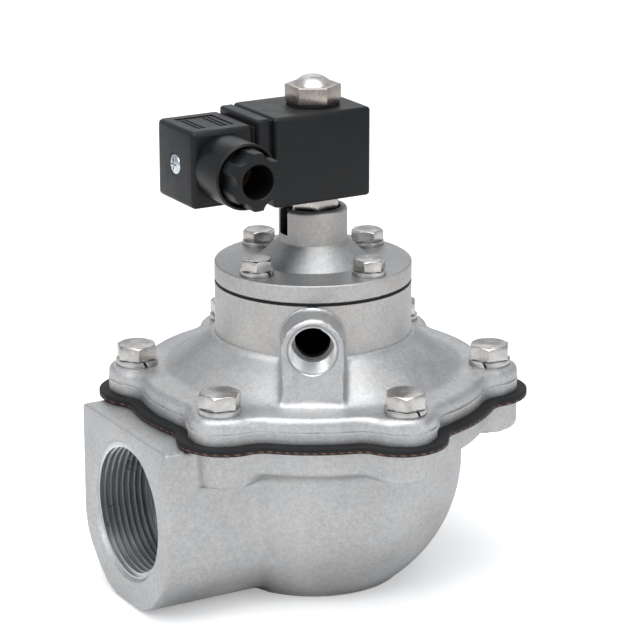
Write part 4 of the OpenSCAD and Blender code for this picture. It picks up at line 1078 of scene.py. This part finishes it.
star = rod(9.9, (0, 0, 26), (0, 0, 36.5), "star_nut", sides=120)
flutes = [placed(rod(4.6, (0, 0, 25), (0, 0, 38)), on_circle(12.7, math.radians(60 * i), 0))
          for i in range(6)]
bevelled(carve(star, *flutes), 0.3, 2, 40)
carve(star, rod(9, (0, 0, 20.5), (0, 0, 26.3)), operation="UNION")
carve(star, turned([(0, 19), (5.85, 19), (5.85, 36.1), (6.6, 36.85), (6.6, 38), (0, 38)]))
surfaced(towards_cable(star), black_nylon("nut_nylon", rough=0.40))
settled(finished(star, 40), "coil", "black_plastic", "gland_nut")


def brown_rubber():
    """Natural rubber: reddish brown, dull and a little uneven."""
    f = Finish("brown_rubber", ior=1.5)
    cloud = f.noise(3, 3)
    colour = f.blend(cloud, (0.055, 0.030, 0.017, 1), (0.115, 0.066, 0.038, 1))
    return f.feed(base_color=colour, roughness=f.ramp(cloud, 0.45, 0.62, 0.3, 0.7),
                  normal=f.bump(f.noise(0.4, 2), 0.03))


def bright_metal(name, tint, rough):
    """Plated or bare turned metal of a given tint, with fine lines and a faint cloud."""
    f = Finish(name, metallic=1.0)
    cloud = f.noise(2.5, 3)
    line = f.noise(0.3, 2)
    dark = tuple(c * 0.78 for c in tint)
    colour = f.blend(f.ramp(cloud, 0, 1, 0.35, 0.65), (*dark, 1), (*tint, 1))
    return f.feed(base_color=colour, roughness=f.ramp(cloud, rough - 0.05, rough + 0.08, 0.3, 0.7),
                  normal=f.bump(line, 0.012))


dressed(bright_metal("brass", tint=(0.66, 0.47, 0.19), rough=0.26), "terminal_blades", "gland_washer",
        "pilot_rivet")
dressed(brown_rubber(), "gland_grommet")
dressed(black_nylon("block_nylon", grey=0.045, rough=0.5, cool=0.0), "contact_block")

screw = turned([(0, 52.4), (3.65, 52.4), (3.65, 53.0), *bend(2.75, 53.1, 0.9, 10, 60, 4), (1.7, 54.3),
                (0, 54.5)], "plug_screw", 64)
arms = [block((-1.9, -0.35, 53.3), (1.9, 0.35, 56)), block((-0.35, -1.9, 53.3), (0.35, 1.9, 56))]
core = placed(rod(1.45, (0, 0, 25.4), (0, 0, 52.6), sides=40))
carve(screw, core, operation="UNION")
carve(screw, *arms, turned([(0, 53.1), (0.9, 54.6), (0.9, 56), (0, 56)], steps=24))
placed(screw, (0, 0, CONTACT_Z), Matrix.Rotation(-math.pi / 2, 4, "Y"))
surfaced(screw, bright_metal("zinc_plate", tint=(0.72, 0.78, 0.82), rough=0.2))
settled(finished(screw), "coil", "zinc_steel", "connector_screw")


# ---- Cap nut ------------------------------------------------------------------------------------
# A nickel-plated cap nut on the core's stud holds the coil down on a black ring. Its flats are sawn,
# and its low dome is polished.

NUT_FOOT, NUT_TOP = 171.45, 177.45

nut = bevelled(hex_bar(17, NUT_FOOT, NUT_TOP, 30, "cap_nut"), 0.35, 3)
carve(nut, turned([(0, 176), (6.9, 176), (6.9, 177.4), (6.6, 177.75), (5.9, 178.4), (5.0, 179.2),
                   (3.9, 179.9), (2.6, 180.4), (1.3, 180.67), (0, 180.75)], steps=96), operation="UNION")
carve(nut, rod(5, (0, 0, 170), (0, 0, NUT_TOP)))
dome = bright_metal("polished_nickel", tint=(0.66, 0.64, 0.62), rough=0.34)
surfaced(nut, nickel("nut_plate", light=0.43, warm=0.12, rough=0.30),
         (dome, lambda at, normal: at.z > NUT_TOP + 0.05))
settled(finished(nut), "valve", "nickel_steel", "coil_nut")
